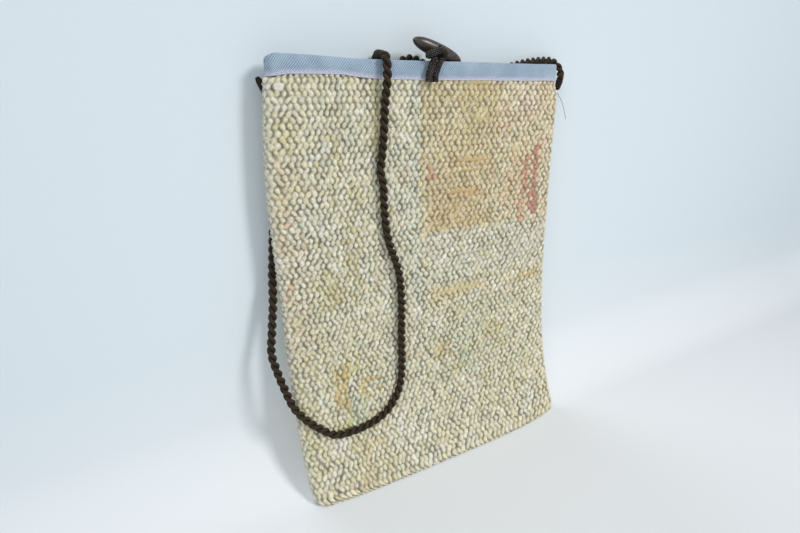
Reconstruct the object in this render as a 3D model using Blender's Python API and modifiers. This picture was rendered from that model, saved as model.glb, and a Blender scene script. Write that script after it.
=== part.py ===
"""Hand-woven shoulder pouch: two woven panels with a twill lining, a twill binding over each lip,
a twisted shoulder cord sewn on at both sides, and a toggle on a doubled cord.

Metres, +Z up, the front faces -Y. The pouch is shown leaning: its upper half stands upright against
a wall and its foot curves forward to the floor. Every cloth piece is laid out in the pouch's own
directions, which follow that curve: across (x, to the right), down (s, along the cloth from the top
edge) and out (n, from the rear face of the back panel towards the front). The origin is the middle
of the rear binding, where the wall touches it.
"""
import math

import bmesh
import bpy
import numpy as np
from mathutils import Matrix, Vector

# Clearance between pieces that touch
GAP = 0.0003

# Woven body
TOP_WIDTH = 0.260
FOOT_WIDTH = 0.248
CLOTH_DROP = 0.322
FOOT_CORNER = 0.012
WEAVE_THICKNESS = 0.003
BELLY = 0.008
MIDDLE_LEAN = math.radians(4.6)
FOOT_LEAN = math.radians(25.9)

# Lining
LINING_THICKNESS = 0.0005
LINING_INSET = 0.004

# Binding over each lip, and its row of stitches
BINDING_HEIGHT = 0.0135
BINDING_THICKNESS = 0.0008
BINDING_LAP = 0.0005
STITCH_DIAMETER = 0.0007
STITCH_MARGIN = 0.0015
STITCH_END = 0.006

# Seam threads, set in the groove between the panels
SEAM_DEPTH = 0.0010
SEAM_TOP = 0.003
SEAM_FOOT_HEIGHT = 0.0012

# Shoulder cord and its whipped ends
CORD_DIAMETER = 0.0065
CORD_TIP_DIAMETER = 0.0024
CORD_END_LENGTH = 0.0075
LEFT_END_INSET = 0.002
RIGHT_END_DROP = 0.0130
CORD_POINT_SPACING = 0.019
CORD_POINT_TURN = math.radians(19.0)

# Toggle
TOGGLE_LENGTH = 0.045
TOGGLE_DIAMETER = 0.0115
TOGGLE_X = 0.0006
TOGGLE_TILT = math.radians(15.0)
TOGGLE_HOLE_SHIFT = 0.0010

# Doubled toggle cord: two legs on the binding, a neck that folds over the lip
LEG_DIAMETER = 0.0049
LEG_SPACING = 0.0054
LEG_FOOT_X = -0.0124
LEG_LIP_X = -0.0084
LEG_TUCK = 0.0012
LEG_STRAIGHT = 0.0015
FOLD_DROP = 0.0005
KNOT_DIAMETER = 0.0072

# Counts
PANEL_COLUMNS = 16
PANEL_ROWS = 26
LINING_COLUMNS = 12
LINING_ROWS = 16
STITCH_STEPS = 32
SEAM_STEPS = 24
TOGGLE_STEPS = 20
TOGGLE_RINGS = 16
BIGHT_STEPS = 8

# Route of the shoulder cord, chosen by hand, in the pouch's directions.
# Behind the left edge: (in from the left edge, down); the cord lies against the back panel.
REAR_LEFT_ROUTE = [
    (0.0046, 0.040),
    (0.0052, 0.060),
    (0.0042, 0.082),
    (0.0026, 0.098),
    (0.0012, 0.112),
]
# Beside the left edge: (out from the left edge, down, out from the rear face).
SIDE_ROUTE = [
    (0.0000, 0.122, -0.0040),
    (0.0011, 0.132, -0.0038),
    (0.0027, 0.142, -0.0028),
    (0.0042, 0.152, -0.0008),
    (0.0062, 0.166, 0.0018),
    (0.0098, 0.186, 0.0034),
    (0.0126, 0.202, 0.0050),
    (0.0110, 0.216, 0.0072),
    (0.0082, 0.230, 0.0092),
    (0.0044, 0.245, 0.0112),
]
# On the front panel: (across, down).
FRONT_ROUTE = [
    (-0.1252, 0.2563),
    (-0.1165, 0.2662),
    (-0.1040, 0.2764),
    (-0.0886, 0.2780),
    (-0.0730, 0.2762),
    (-0.0590, 0.2706),
    (-0.0492, 0.2606),
    (-0.0436, 0.2490),
    (-0.0410, 0.2340),
    (-0.0398, 0.2110),
    (-0.0387, 0.1860),
    (-0.0392, 0.1610),
    (-0.0432, 0.1440),
    (-0.0480, 0.1310),
    (-0.0512, 0.1140),
    (-0.0523, 0.0960),
    (-0.0528, 0.0845),
    (-0.0548, 0.0750),
    (-0.0534, 0.0640),
    (-0.0518, 0.0480),
    (-0.0508, 0.0300),
]
# Where the cord turns over the lips, and the turn's shape at a lip's corner in cord half-widths:
# (out from the lip, up from it).
TURN_X = -0.0500
TURN_SHAPE = [(1.08, -4.2), (1.02, -2.2), (1.00, -0.6), (0.86, 0.60), (0.30, 1.10)]
TURN_CREST = 1.22
# Behind the back panel, along the top edge: (across, down).
REAR_TOP_ROUTE = [
    (-0.0497, 0.0150),
    (-0.0475, 0.0215),
    (-0.0420, 0.0250),
    (-0.0360, 0.0225),
    (-0.0320, 0.0150),
    (-0.0285, 0.0070),
    (-0.0245, 0.0012),
    (-0.0190, -0.0006),
    (-0.0120, 0.0004),
    (-0.0015, 0.0030),
    (0.0120, 0.0070),
    (0.0300, 0.0095),
    (0.0480, 0.0092),
    (0.0700, 0.0062),
    (0.0880, 0.0012),
    (0.1040, -0.0018),
    (0.1180, -0.0034),
]
# Round the right end of the rear lip, in cord half-widths: (out from the right edge, behind the lip)
# and the height above the top edge.
CORNER_ROUTE = [
    (-0.30, 0.90, 0.0034),
    (0.78, 0.74, 0.0004),
    (1.10, -0.60, -0.0050),
    (1.06, -1.30, -0.0092),
]

# Hitch of the toggle cord round its own neck, in leg diameters from the neck's foot at the lip:
# (across, out, up).
HITCH_SHAPE = [
    (-1.20, -0.29, 0.60),
    (-1.27, 0.16, 0.50),
    (-0.73, 0.43, 0.80),
    (-0.04, 0.45, 0.94),
    (0.65, 0.37, 0.84),
    (1.14, 0.08, 0.56),
    (1.06, -0.33, 0.66),
]
# Each strand of the neck over the lip's corner, in strand half-widths: (out from the lip, up from it),
# and its bend before the toggle's hole, in leg diameters from the hole's mouth.
NECK_SHAPE = [(0.98, 0.5), (0.5, 1.3)]
NECK_BEND = (-0.20, -0.42, -0.06)
FOLD_REACH = 0.0010

# Values that follow from the sizes above
SEAM_SPACE = 2 * LINING_THICKNESS + 3 * GAP
SEAM_DIAMETER = SEAM_SPACE - 2 * GAP
LIP_HEIGHT = GAP + BINDING_THICKNESS
STITCH_HEIGHT = GAP + STITCH_DIAMETER
REAR_Y = -LIP_HEIGHT
TOP_Z = BINDING_HEIGHT / 2
CORD_SEAT = CORD_DIAMETER / 2 + GAP
LEG_SEAT = LEG_DIAMETER / 2 + GAP

SPINE_SPARE = 0.1
SPINE_STEPS = 600


def lean(s):
    """Angle of the cloth from upright at a place down it."""
    t = np.clip(s / CLOTH_DROP, 0.0, 1.0)
    return MIDDLE_LEAN * t**2 + FOOT_LEAN * t**4


def spine_table():
    """Places along the rear face: how far down the cloth, and its depth and height there."""
    s = np.linspace(-SPINE_SPARE, CLOTH_DROP + SPINE_SPARE, SPINE_STEPS + 1)
    middles = (s[1:] + s[:-1]) / 2
    step = s[1] - s[0]
    depth = np.concatenate([[0.0], -np.cumsum(np.sin(lean(middles)) * step)])
    height = SPINE_SPARE + np.concatenate([[0.0], -np.cumsum(np.cos(lean(middles)) * step)])
    return s, depth, height


SPINE_S, SPINE_Y, SPINE_Z = spine_table()
FLOOR_Z = TOP_Z + float(np.interp(CLOTH_DROP, SPINE_S, SPINE_Z))


def place(x, s, n):
    """World point of a place given in the pouch's own directions."""
    angle = float(lean(s))
    y = REAR_Y + float(np.interp(s, SPINE_S, SPINE_Y)) - n * math.cos(angle)
    z = TOP_Z + float(np.interp(s, SPINE_S, SPINE_Z)) + n * math.sin(angle)
    return Vector((x, y, z))


def side(s):
    """Half the pouch's width at a place down it, before the foot's corners are rounded."""
    t = min(max(s / CLOTH_DROP, 0.0), 1.0)
    return (TOP_WIDTH - (TOP_WIDTH - FOOT_WIDTH) * t**3) / 2


def belly(x, s):
    """How far the front panel stands off the back one: nothing at the seams, most in the middle."""
    u = min(abs(x) / side(s), 1.0)
    t = min(max(s / CLOTH_DROP, 0.0), 1.0)
    return BELLY * (1 - u**4) * (1 - t**6)


def front_inner(x, s):
    return WEAVE_THICKNESS + SEAM_SPACE + belly(x, s)


def front_outer(x, s):
    return front_inner(x, s) + WEAVE_THICKNESS


def front_lip(x):
    """Front face of the front binding."""
    return front_outer(x, 0.0) + LIP_HEIGHT


def drop_to_floor(n):
    """Length of a layer of cloth that reaches the floor."""
    return CLOTH_DROP + n * math.tan(MIDDLE_LEAN + FOOT_LEAN)


def smooth(points, per_span=2):
    """Points along a smooth curve that passes through the given ones."""
    p = [Vector(q) for q in points]
    p = [2 * p[0] - p[1]] + p + [2 * p[-1] - p[-2]]
    found = []
    for a, b, c, d in zip(p, p[1:], p[2:], p[3:]):
        for k in range(per_span):
            t = k / per_span
            bend = (2 * a - 5 * b + 4 * c - d) * t**2 + (3 * b - a - 3 * c + d) * t**3
            found.append(b + ((c - a) * t + bend) / 2)
    return found + [p[-2]]


def thin_out(points, longest, turn):
    """Leaves out points of a fine line, until it would run on for too long or turn by too much."""
    kept = [points[0]]
    heading = (points[1] - points[0]).normalized()
    for here, after in zip(points[1:], points[2:]):
        way = (after - here).normalized()
        if (after - kept[-1]).length > longest or way.angle(heading) > turn:
            kept.append(here)
            heading = way
    return kept + [points[-1]]


# Scene, materials and helpers


def clear_scene():
    for thing in list(bpy.data.objects):
        bpy.data.objects.remove(thing, do_unlink=True)


def make_material(name, colour, roughness):
    material = bpy.data.materials.new(name)
    material.use_nodes = True
    shader = material.node_tree.nodes["Principled BSDF"]
    shader.inputs["Base Color"].default_value = (*colour, 1.0)
    shader.inputs["Roughness"].default_value = roughness
    shader.inputs["Metallic"].default_value = 0.0
    return material


def make_collection(name):
    collection = bpy.data.collections.new(name)
    bpy.context.scene.collection.children.link(collection)
    return collection


def add_mesh(name, bm, material, collection):
    mesh = bpy.data.meshes.new(name)
    bm.to_mesh(mesh)
    bm.free()
    return add_object(name, mesh, material, collection)


def add_object(name, data, material, collection):
    thing = bpy.data.objects.new(name, data)
    if material is not None:
        data.materials.append(material)
    collection.objects.link(thing)
    return thing


def thicken(thing, thickness):
    solidify = thing.modifiers.new("Thickness", "SOLIDIFY")
    solidify.thickness = thickness
    solidify.offset = 0.0
    solidify.use_even_offset = True


def cut(thing, cutter):
    boolean = thing.modifiers.new("Cut", "BOOLEAN")
    boolean.operation = "DIFFERENCE"
    boolean.solver = "EXACT"
    boolean.object = cutter


def hide_cutter(cutter):
    cutter.hide_render = True
    cutter.display_type = "WIRE"


def round_shading(thing, angle=40.0):
    thing.data.shade_smooth()
    thing.data.set_sharp_from_angle(angle=math.radians(angle))


def add_tube(name, points, diameter, material, collection, resolution=2):
    """A round cord along a line of points, with closed ends."""
    curve = bpy.data.curves.new(name, "CURVE")
    curve.dimensions = "3D"
    curve.bevel_depth = diameter / 2
    curve.bevel_resolution = resolution
    curve.use_fill_caps = True
    spline = curve.splines.new("POLY")
    spline.points.add(len(points) - 1)
    for point, place_at in zip(spline.points, points):
        point.co = (*place_at, 1.0)
    return add_object(name, curve, material, collection)


def tube_mesh(points, diameter, collection):
    """The same cord as a closed mesh, for joining to another."""
    curve = add_tube("cord_form", points, diameter, None, collection)
    depsgraph = bpy.context.evaluated_depsgraph_get()
    mesh = bpy.data.meshes.new_from_object(curve.evaluated_get(depsgraph))
    bpy.data.objects.remove(curve, do_unlink=True)
    bm = bmesh.new()
    bm.from_mesh(mesh)
    bpy.data.meshes.remove(mesh)
    bmesh.ops.remove_doubles(bm, verts=bm.verts, dist=1e-6)
    bmesh.ops.recalc_face_normals(bm, faces=bm.faces)
    return bm


def along(direction):
    """Rotation that turns +Z to a direction."""
    return Vector((0, 0, 1)).rotation_difference(direction).to_matrix().to_4x4()


def frustum(bm, start, end, start_diameter, end_diameter, segments):
    """A closed cone between two points."""
    axis = end - start
    bmesh.ops.create_cone(
        bm,
        cap_ends=True,
        segments=segments,
        radius1=start_diameter / 2,
        radius2=end_diameter / 2,
        depth=axis.length,
        matrix=Matrix.Translation((start + end) / 2) @ along(axis),
    )


# Cloth


def cloth_grid(columns, rows, half_width, drop, middle):
    """A sheet laid over the pouch's curve, with its rows closer together towards the foot."""
    bm = bmesh.new()
    bmesh.ops.create_grid(bm, x_segments=columns, y_segments=rows, size=1.0)
    for vertex in bm.verts:
        v = (1 - vertex.co.y) / 2
        s = drop * (1 - (1 - v) ** 1.5)
        x = vertex.co.x * half_width(s)
        vertex.co = place(x, s, middle(x, s))
    return bm


def panel_half_width(drop):
    """Half width down a panel, with the foot's corners rounded."""

    def half_width(s):
        left = min(max(drop - s, 0.0), FOOT_CORNER)
        sagitta = math.sqrt(FOOT_CORNER**2 - (FOOT_CORNER - left) ** 2)
        return side(s) - (FOOT_CORNER - sagitta)

    return half_width


def make_floor_cutter(cutters):
    """Block below the floor that cuts the panels' feet flat."""
    height = WEAVE_THICKNESS * 10
    bm = bmesh.new()
    bmesh.ops.create_cube(bm, size=1.0)
    bmesh.ops.scale(bm, vec=(2 * TOP_WIDTH, 2 * CLOTH_DROP, height), verts=bm.verts)
    cutter = add_mesh("floor_cutter", bm, None, cutters)
    cutter.location = (0.0, 0.0, FLOOR_Z - height / 2)
    hide_cutter(cutter)
    return cutter


def make_panel(name, middle, outer_foot, material, parts, floor_cutter):
    """A woven panel: it runs past the floor and is cut flat there."""
    drop = drop_to_floor(outer_foot)
    spare = WEAVE_THICKNESS
    bm = cloth_grid(PANEL_COLUMNS, PANEL_ROWS, panel_half_width(drop), drop + spare, middle)
    panel = add_mesh(name, bm, material, parts)
    thicken(panel, WEAVE_THICKNESS)
    cut(panel, floor_cutter)
    return panel


def make_lining(name, middle, material, parts):
    """A lining, let into the seams by less than the panels reach."""

    def half_width(s):
        return panel_half_width(CLOTH_DROP)(s) - LINING_INSET

    bm = cloth_grid(LINING_COLUMNS, LINING_ROWS, half_width, CLOTH_DROP - LINING_INSET, middle)
    lining = add_mesh(name, bm, material, parts)
    thicken(lining, LINING_THICKNESS)
    return lining


def binding_path(outer, inner, outward):
    """The binding's section: up one face of the lip, round its edge and across the top."""
    reach = GAP + BINDING_THICKNESS / 2
    turn = reach * math.sqrt(0.5)
    return [
        (outer + outward * reach, BINDING_HEIGHT),
        (outer + outward * reach, BINDING_HEIGHT / 2),
        (outer + outward * reach, 0.0),
        (outer + outward * turn, -turn),
        (outer, -reach),
        (inner - outward * BINDING_LAP, -reach),
    ]


def make_binding(name, faces, outward, material, parts):
    bm = bmesh.new()
    steps = len(binding_path(0.0, 0.0, outward)) - 1
    bmesh.ops.create_grid(bm, x_segments=PANEL_COLUMNS, y_segments=steps, size=1.0)
    for vertex in bm.verts:
        x = vertex.co.x * TOP_WIDTH / 2
        outer, inner = faces(x)
        n, s = binding_path(outer, inner, outward)[round((vertex.co.y + 1) / 2 * steps)]
        vertex.co = place(x, s, n)
    bmesh.ops.recalc_face_normals(bm, faces=bm.faces)
    binding = add_mesh(name, bm, material, parts)
    thicken(binding, BINDING_THICKNESS)
    return binding


def make_stitching(name, face, outward, material, parts):
    """The top thread of the stitching along a binding's lower edge."""
    depth = outward * (GAP + STITCH_DIAMETER / 2)
    reach = TOP_WIDTH / 2 - STITCH_END
    points = []
    for i in range(STITCH_STEPS + 1):
        x = reach * (2 * i / STITCH_STEPS - 1)
        points.append(place(x, BINDING_HEIGHT - STITCH_MARGIN, face(x) + depth))
    add_tube(name, points, STITCH_DIAMETER, material, parts)


def make_seams(material, parts):
    """Threads that close the pouch: one up each side and one along the foot."""
    middle = WEAVE_THICKNESS + SEAM_SPACE / 2
    low = CLOTH_DROP - FOOT_CORNER
    for name, way in (("side_seam_left", -1), ("side_seam_right", 1)):
        points = []
        for i in range(SEAM_STEPS + 1):
            s = SEAM_TOP + (low - SEAM_TOP) * i / SEAM_STEPS
            points.append(place(way * (side(s) - SEAM_DEPTH), s, middle))
        add_tube(name, points, SEAM_DIAMETER, material, parts)
    foot = drop_to_floor(middle) - SEAM_FOOT_HEIGHT / math.cos(MIDDLE_LEAN + FOOT_LEAN)
    reach = side(CLOTH_DROP) - 2 * FOOT_CORNER
    ends = [place(-reach, foot, middle), place(0.0, foot, middle), place(reach, foot, middle)]
    add_tube("bottom_seam", ends, SEAM_DIAMETER, material, parts)


# Shoulder cord


def left_end_places():
    """Tip and mouth of the whipped end behind the left edge, below the rear binding."""
    x = -(TOP_WIDTH / 2 - LEFT_END_INSET)
    top = BINDING_HEIGHT + GAP + CORD_TIP_DIAMETER / 2
    tip = place(x, top, -(CORD_TIP_DIAMETER / 2 + GAP))
    mouth = place(x, top + CORD_END_LENGTH, -CORD_SEAT)
    return tip, mouth


def right_end_places():
    """Tip and mouth of the whipped end at the right side seam."""
    middle = WEAVE_THICKNESS + SEAM_SPACE / 2
    edge = TOP_WIDTH / 2
    mouth = place(edge + CORD_SEAT + GAP, RIGHT_END_DROP, middle)
    tip_x = edge + CORD_TIP_DIAMETER / 2 + 2 * GAP
    tip = place(tip_x, RIGHT_END_DROP + CORD_END_LENGTH, middle)
    return tip, mouth


def turn_over_lips():
    """The cord's turn from the front of the pouch over both lips to its back."""
    front = front_lip(TURN_X) + STITCH_HEIGHT
    rear = -LIP_HEIGHT - STITCH_HEIGHT
    points = []
    for out, up in TURN_SHAPE:
        points.append(place(TURN_X, -(LIP_HEIGHT + up * CORD_SEAT), front + out * CORD_SEAT))
    crest = LIP_HEIGHT + TURN_CREST * CORD_SEAT
    points.append(place(TURN_X, -crest, (front + rear) / 2))
    for out, up in reversed(TURN_SHAPE[1:]):
        points.append(place(TURN_X, -(LIP_HEIGHT + up * CORD_SEAT), rear - out * CORD_SEAT))
    return points


def leaving(tip, mouth):
    """The cord's first two points, straight out of a whipped end."""
    way = (mouth - tip).normalized()
    return [mouth + way * GAP, mouth + way * (GAP + CORD_DIAMETER / 2)]


def cord_route():
    """The cord from its left end to its right one."""
    left_tip, left_mouth = left_end_places()
    right_tip, right_mouth = right_end_places()
    route = leaving(left_tip, left_mouth)
    for inset, s in REAR_LEFT_ROUTE:
        route.append(place(inset - side(s), s, -CORD_SEAT - GAP))
    for out, s, n in SIDE_ROUTE:
        route.append(place(-side(s) - out, s, n))
    for x, s in FRONT_ROUTE:
        route.append(place(x, s, front_outer(x, s) + CORD_SEAT + GAP))
    route += turn_over_lips()
    for x, s in REAR_TOP_ROUTE:
        route.append(place(x, s, -(LIP_HEIGHT + STITCH_HEIGHT + CORD_SEAT)))
    for out, behind, up in CORNER_ROUTE:
        x = TOP_WIDTH / 2 + out * CORD_SEAT
        route.append(place(x, -up, -(LIP_HEIGHT + STITCH_HEIGHT + behind * CORD_SEAT)))
    return route + leaving(right_tip, right_mouth)[::-1]


def make_cord(material, parts):
    route = cord_route()
    free = thin_out(smooth(route[1:-1], 8), CORD_POINT_SPACING, CORD_POINT_TURN)
    points = [route[0], *free, route[-1]]
    length = sum((b - a).length for a, b in zip(points, points[1:]))
    print(f"shoulder cord: {length:.3f} m, {len(points)} points")
    add_tube("shoulder_cord", points, CORD_DIAMETER, material, parts)


def make_cord_end(name, tip, mouth, material, parts):
    """A whipped end: the cord drawn down to the tip that is sewn into the seam."""
    bm = bmesh.new()
    frustum(bm, mouth, tip, CORD_DIAMETER, CORD_TIP_DIAMETER, 12)
    end = add_mesh(name, bm, material, parts)
    round_shading(end)


# Toggle and its cord


def toggle_radius(t):
    """The turned toggle's half thickness, from its middle at 0 to an end at 1."""
    return TOGGLE_DIAMETER / 2 * max(1 - abs(t) ** 2.4, 0.0) ** 0.55


def mouth_faces():
    """Facing edges of the rear and the front lip where the toggle lies."""
    return WEAVE_THICKNESS + BINDING_LAP, front_inner(TOGGLE_X, 0.0) - BINDING_LAP


def toggle_height():
    """Height of the toggle's middle above the top edge, with the toggle down on both lips."""
    rear, front = mouth_faces()
    half_mouth = (front - rear) / 2
    highest = 0.0
    for i in range(-TOGGLE_RINGS, TOGGLE_RINGS + 1):
        t = i / TOGGLE_RINGS
        reach = toggle_radius(t) / math.cos(TOGGLE_TILT) + GAP
        rise = math.sqrt(max(reach**2 - half_mouth**2, 0.0))
        fall = t * TOGGLE_LENGTH / 2 * math.sin(TOGGLE_TILT)
        highest = max(highest, LIP_HEIGHT + rise + fall)
    return highest


def hole_place(n):
    """Point on the axis of the toggle's cross hole, at a depth n."""
    x = TOGGLE_X - TOGGLE_HOLE_SHIFT * math.cos(TOGGLE_TILT)
    height = toggle_height() + TOGGLE_HOLE_SHIFT * math.sin(TOGGLE_TILT)
    return place(x, -height, n)


def mouth_middle():
    rear, front = mouth_faces()
    return (rear + front) / 2


def make_toggle(material, parts, cutters):
    """A turned toggle with a cross hole for its cord; its origin is on the hole's axis."""
    bm = bmesh.new()
    previous = None
    for i in range(-TOGGLE_RINGS, TOGGLE_RINGS + 1):
        t = math.sin(math.pi / 2 * i / TOGGLE_RINGS)
        x = t * TOGGLE_LENGTH / 2 + TOGGLE_HOLE_SHIFT
        vertex = bm.verts.new((x, 0.0, toggle_radius(t)))
        if previous is not None:
            bm.edges.new((previous, vertex))
        previous = vertex
    toggle = add_mesh("toggle", bm, material, parts)
    toggle.location = hole_place(mouth_middle())
    toggle.rotation_euler = (0.0, TOGGLE_TILT, 0.0)
    screw = toggle.modifiers.new("Turn", "SCREW")
    screw.axis = "X"
    screw.steps = TOGGLE_STEPS
    screw.render_steps = TOGGLE_STEPS
    screw.use_merge_vertices = True
    screw.merge_threshold = 1e-6
    screw.use_normal_calculate = True
    bore = bmesh.new()
    start = hole_place(mouth_middle() - TOGGLE_DIAMETER)
    end = hole_place(mouth_middle() + TOGGLE_DIAMETER)
    width = LEG_DIAMETER + 2 * GAP
    frustum(bore, start, end, width, width, 16)
    cutter = add_mesh("toggle_hole_cutter", bore, None, cutters)
    hide_cutter(cutter)
    cut(toggle, cutter)
    return toggle


def leg_depth():
    """Depth of the legs' middle line where they lie on the binding."""
    return front_lip(LEG_LIP_X) + STITCH_HEIGHT + LEG_SEAT


def make_legs(material, parts):
    """The doubled cord on the binding: down one leg, round the bight at its foot, up the other."""
    radius = LEG_SPACING / 2
    top = FOLD_DROP + GAP / 2
    foot = BINDING_HEIGHT + LEG_TUCK - radius - LEG_DIAMETER / 2
    left = LEG_LIP_X - radius
    right = LEG_LIP_X + radius
    points = [place(left, top, leg_depth()), place(left, top + LEG_STRAIGHT, leg_depth())]
    for i in range(BIGHT_STEPS + 1):
        angle = math.pi * i / BIGHT_STEPS
        x = LEG_FOOT_X - radius * math.cos(angle)
        points.append(place(x, foot + radius * math.sin(angle), leg_depth()))
    points += [place(right, top + LEG_STRAIGHT, leg_depth()), place(right, top, leg_depth())]
    add_tube("toggle_cord_legs", points, LEG_DIAMETER, material, parts)


def neck_points(way):
    """One strand of the neck: up from the fold, over the lip's corner and into the toggle's hole."""
    x = LEG_LIP_X + way * LEG_SPACING
    corner = front_lip(LEG_LIP_X)
    entry = hole_place(mouth_middle() + TOGGLE_DIAMETER / 2 + 2 * GAP)
    foot = FOLD_DROP - GAP / 2
    points = [place(x, foot, leg_depth()), place(x, foot - LEG_STRAIGHT, leg_depth())]
    for out, up in NECK_SHAPE:
        points.append(place(x, -(LIP_HEIGHT + up * LEG_SEAT), corner + out * LEG_SEAT))
    bend = entry + Vector(NECK_BEND) * LEG_DIAMETER
    return points + [(points[-1] + bend) / 2, bend, entry]


def hitch_points():
    foot = (LEG_LIP_X, leg_depth())
    points = []
    for across, out, up in HITCH_SHAPE:
        x = foot[0] + across * LEG_DIAMETER
        n = foot[1] + out * LEG_DIAMETER
        points.append(place(x, -(LIP_HEIGHT + up * LEG_DIAMETER), n))
    return points


def make_neck(material, parts, cutters):
    """The moving end of the toggle cord: both strands, the hitch round them, the stretch through
    the toggle and the knot behind it, joined into one cord."""
    back = mouth_middle() - TOGGLE_DIAMETER / 2 - GAP - KNOT_DIAMETER * 0.45
    entry = hole_place(mouth_middle() + TOGGLE_DIAMETER / 2 + 2 * GAP)
    knot = hole_place(back)
    through = neck_points(0.5) + [hole_place(mouth_middle()), knot]
    neck = add_mesh("toggle_cord_neck", tube_mesh(smooth(through), LEG_DIAMETER, parts), material, parts)
    left = neck_points(-0.5)
    left[-1] = entry + (left[-1] - left[-2]) * 0.1
    shapes = [tube_mesh(smooth(left), LEG_DIAMETER, parts)]
    shapes.append(tube_mesh(smooth(hitch_points()), LEG_DIAMETER * 0.98, parts))
    ball = bmesh.new()
    bmesh.ops.create_uvsphere(
        ball, u_segments=12, v_segments=8, radius=KNOT_DIAMETER / 2, matrix=Matrix.Translation(knot)
    )
    shapes.append(ball)
    for shape in shapes:
        form = add_mesh("neck_form", shape, None, cutters)
        hide_cutter(form)
        joint = neck.modifiers.new("Join", "BOOLEAN")
        joint.operation = "UNION"
        joint.solver = "EXACT"
        joint.use_self = True
        joint.object = form
    return neck


def set_origin(thing, point):
    """Moves an object's origin to a point without moving its shape."""
    thing.data.transform(Matrix.Translation(-point))
    thing.location = point


def main():
    clear_scene()
    parts = make_collection("shoulder_pouch")
    cutters = make_collection("cutters")

    woven = make_material("woven_cotton", (0.62, 0.58, 0.44), 0.92)
    woven_rear = make_material("woven_cotton_rear", (0.60, 0.57, 0.45), 0.92)
    lining = make_material("lining_twill", (0.36, 0.46, 0.62), 0.85)
    binding = make_material("binding_twill", (0.38, 0.48, 0.64), 0.80)
    thread = make_material("sewing_thread", (0.58, 0.60, 0.70), 0.70)
    cord = make_material("brown_cord", (0.040, 0.026, 0.020), 0.55)
    whipping = make_material("brown_whipping", (0.034, 0.022, 0.018), 0.65)
    horn = make_material("polished_horn", (0.075, 0.055, 0.045), 0.30)

    floor_cutter = make_floor_cutter(cutters)
    half = WEAVE_THICKNESS / 2
    make_panel(
        "front_panel",
        lambda x, s: front_inner(x, s) + half,
        2 * WEAVE_THICKNESS + SEAM_SPACE,
        woven,
        parts,
        floor_cutter,
    )
    make_panel("back_panel", lambda x, s: half, WEAVE_THICKNESS, woven_rear, parts, floor_cutter)
    inset = GAP + LINING_THICKNESS / 2
    make_lining("lining_front", lambda x, s: front_inner(x, s) - inset, lining, parts)
    make_lining("lining_back", lambda x, s: WEAVE_THICKNESS + inset, lining, parts)
    make_binding(
        "binding_front",
        lambda x: (front_outer(x, 0.0), front_inner(x, 0.0)),
        1,
        binding,
        parts,
    )
    make_binding("binding_back", lambda x: (0.0, WEAVE_THICKNESS), -1, binding, parts)
    make_stitching("binding_stitching_front", front_lip, 1, thread, parts)
    make_stitching("binding_stitching_back", lambda x: -LIP_HEIGHT, -1, thread, parts)
    make_seams(thread, parts)

    make_cord(cord, parts)
    make_cord_end("cord_end_left", *left_end_places(), whipping, parts)
    make_cord_end("cord_end_right", *right_end_places(), whipping, parts)

    make_toggle(horn, parts, cutters)
    make_legs(cord, parts)
    neck = make_neck(cord, parts, cutters)
    fold = place(LEG_LIP_X, FOLD_DROP, leg_depth() + LEG_DIAMETER / 2 + FOLD_REACH)
    set_origin(neck, fold)
    print("fold axis", tuple(round(v, 5) for v in fold))
    print("hole axis", tuple(round(v, 5) for v in hole_place(mouth_middle())))
    print("floor", round(FLOOR_Z, 5))


main()
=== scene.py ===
"""Looks of the hand-woven shoulder pouch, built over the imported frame.

Metres, +Z up, the front faces -Y. Cloth and cords are laid out in the pouch's own directions: across
(x, to the right), down (s, along the cloth from the top edge) and out (n, from the rear face of the back
panel towards the front).
"""

import math

import bpy
import numpy as np
from mathutils import Matrix, Vector


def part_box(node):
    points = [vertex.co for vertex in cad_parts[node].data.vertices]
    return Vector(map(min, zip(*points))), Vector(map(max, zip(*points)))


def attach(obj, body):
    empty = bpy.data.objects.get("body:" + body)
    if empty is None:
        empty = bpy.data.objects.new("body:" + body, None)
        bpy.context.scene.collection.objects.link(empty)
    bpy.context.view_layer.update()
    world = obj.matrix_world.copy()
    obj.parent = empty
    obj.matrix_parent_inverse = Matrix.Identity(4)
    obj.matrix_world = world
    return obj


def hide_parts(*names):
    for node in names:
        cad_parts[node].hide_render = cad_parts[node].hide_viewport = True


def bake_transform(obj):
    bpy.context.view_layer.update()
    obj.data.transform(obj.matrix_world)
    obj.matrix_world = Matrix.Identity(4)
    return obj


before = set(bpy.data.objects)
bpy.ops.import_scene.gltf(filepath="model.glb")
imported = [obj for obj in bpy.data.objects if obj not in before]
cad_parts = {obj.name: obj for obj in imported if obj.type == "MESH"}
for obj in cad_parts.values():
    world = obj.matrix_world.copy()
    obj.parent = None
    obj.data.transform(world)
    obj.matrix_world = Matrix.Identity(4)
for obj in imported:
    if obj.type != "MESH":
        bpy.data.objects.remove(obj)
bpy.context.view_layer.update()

# Sizes repeated from the part's source
GAP = 0.0003
TOP_WIDTH = 0.260
FOOT_WIDTH = 0.248
CLOTH_DROP = 0.322
WEAVE_THICKNESS = 0.003
BELLY = 0.008
MIDDLE_LEAN = math.radians(4.6)
FOOT_LEAN = math.radians(25.9)
LINING_THICKNESS = 0.0005
BINDING_HEIGHT = 0.0135
BINDING_THICKNESS = 0.0008
BINDING_LAP = 0.0005
STITCH_DIAMETER = 0.0007
STITCH_MARGIN = 0.0015
STITCH_END = 0.006
CORD_DIAMETER = 0.0065
CORD_TIP_DIAMETER = 0.0024
CORD_END_LENGTH = 0.0075
RIGHT_END_DROP = 0.0130
TOGGLE_LENGTH = 0.045
TOGGLE_DIAMETER = 0.0115
TOGGLE_X = 0.0006
TOGGLE_TILT = math.radians(15.0)
TOGGLE_HOLE_SHIFT = 0.0010
LEG_DIAMETER = 0.0049
LEG_FOOT_X = -0.0124
LEG_LIP_X = -0.0084
LEG_TUCK = 0.0012
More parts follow.
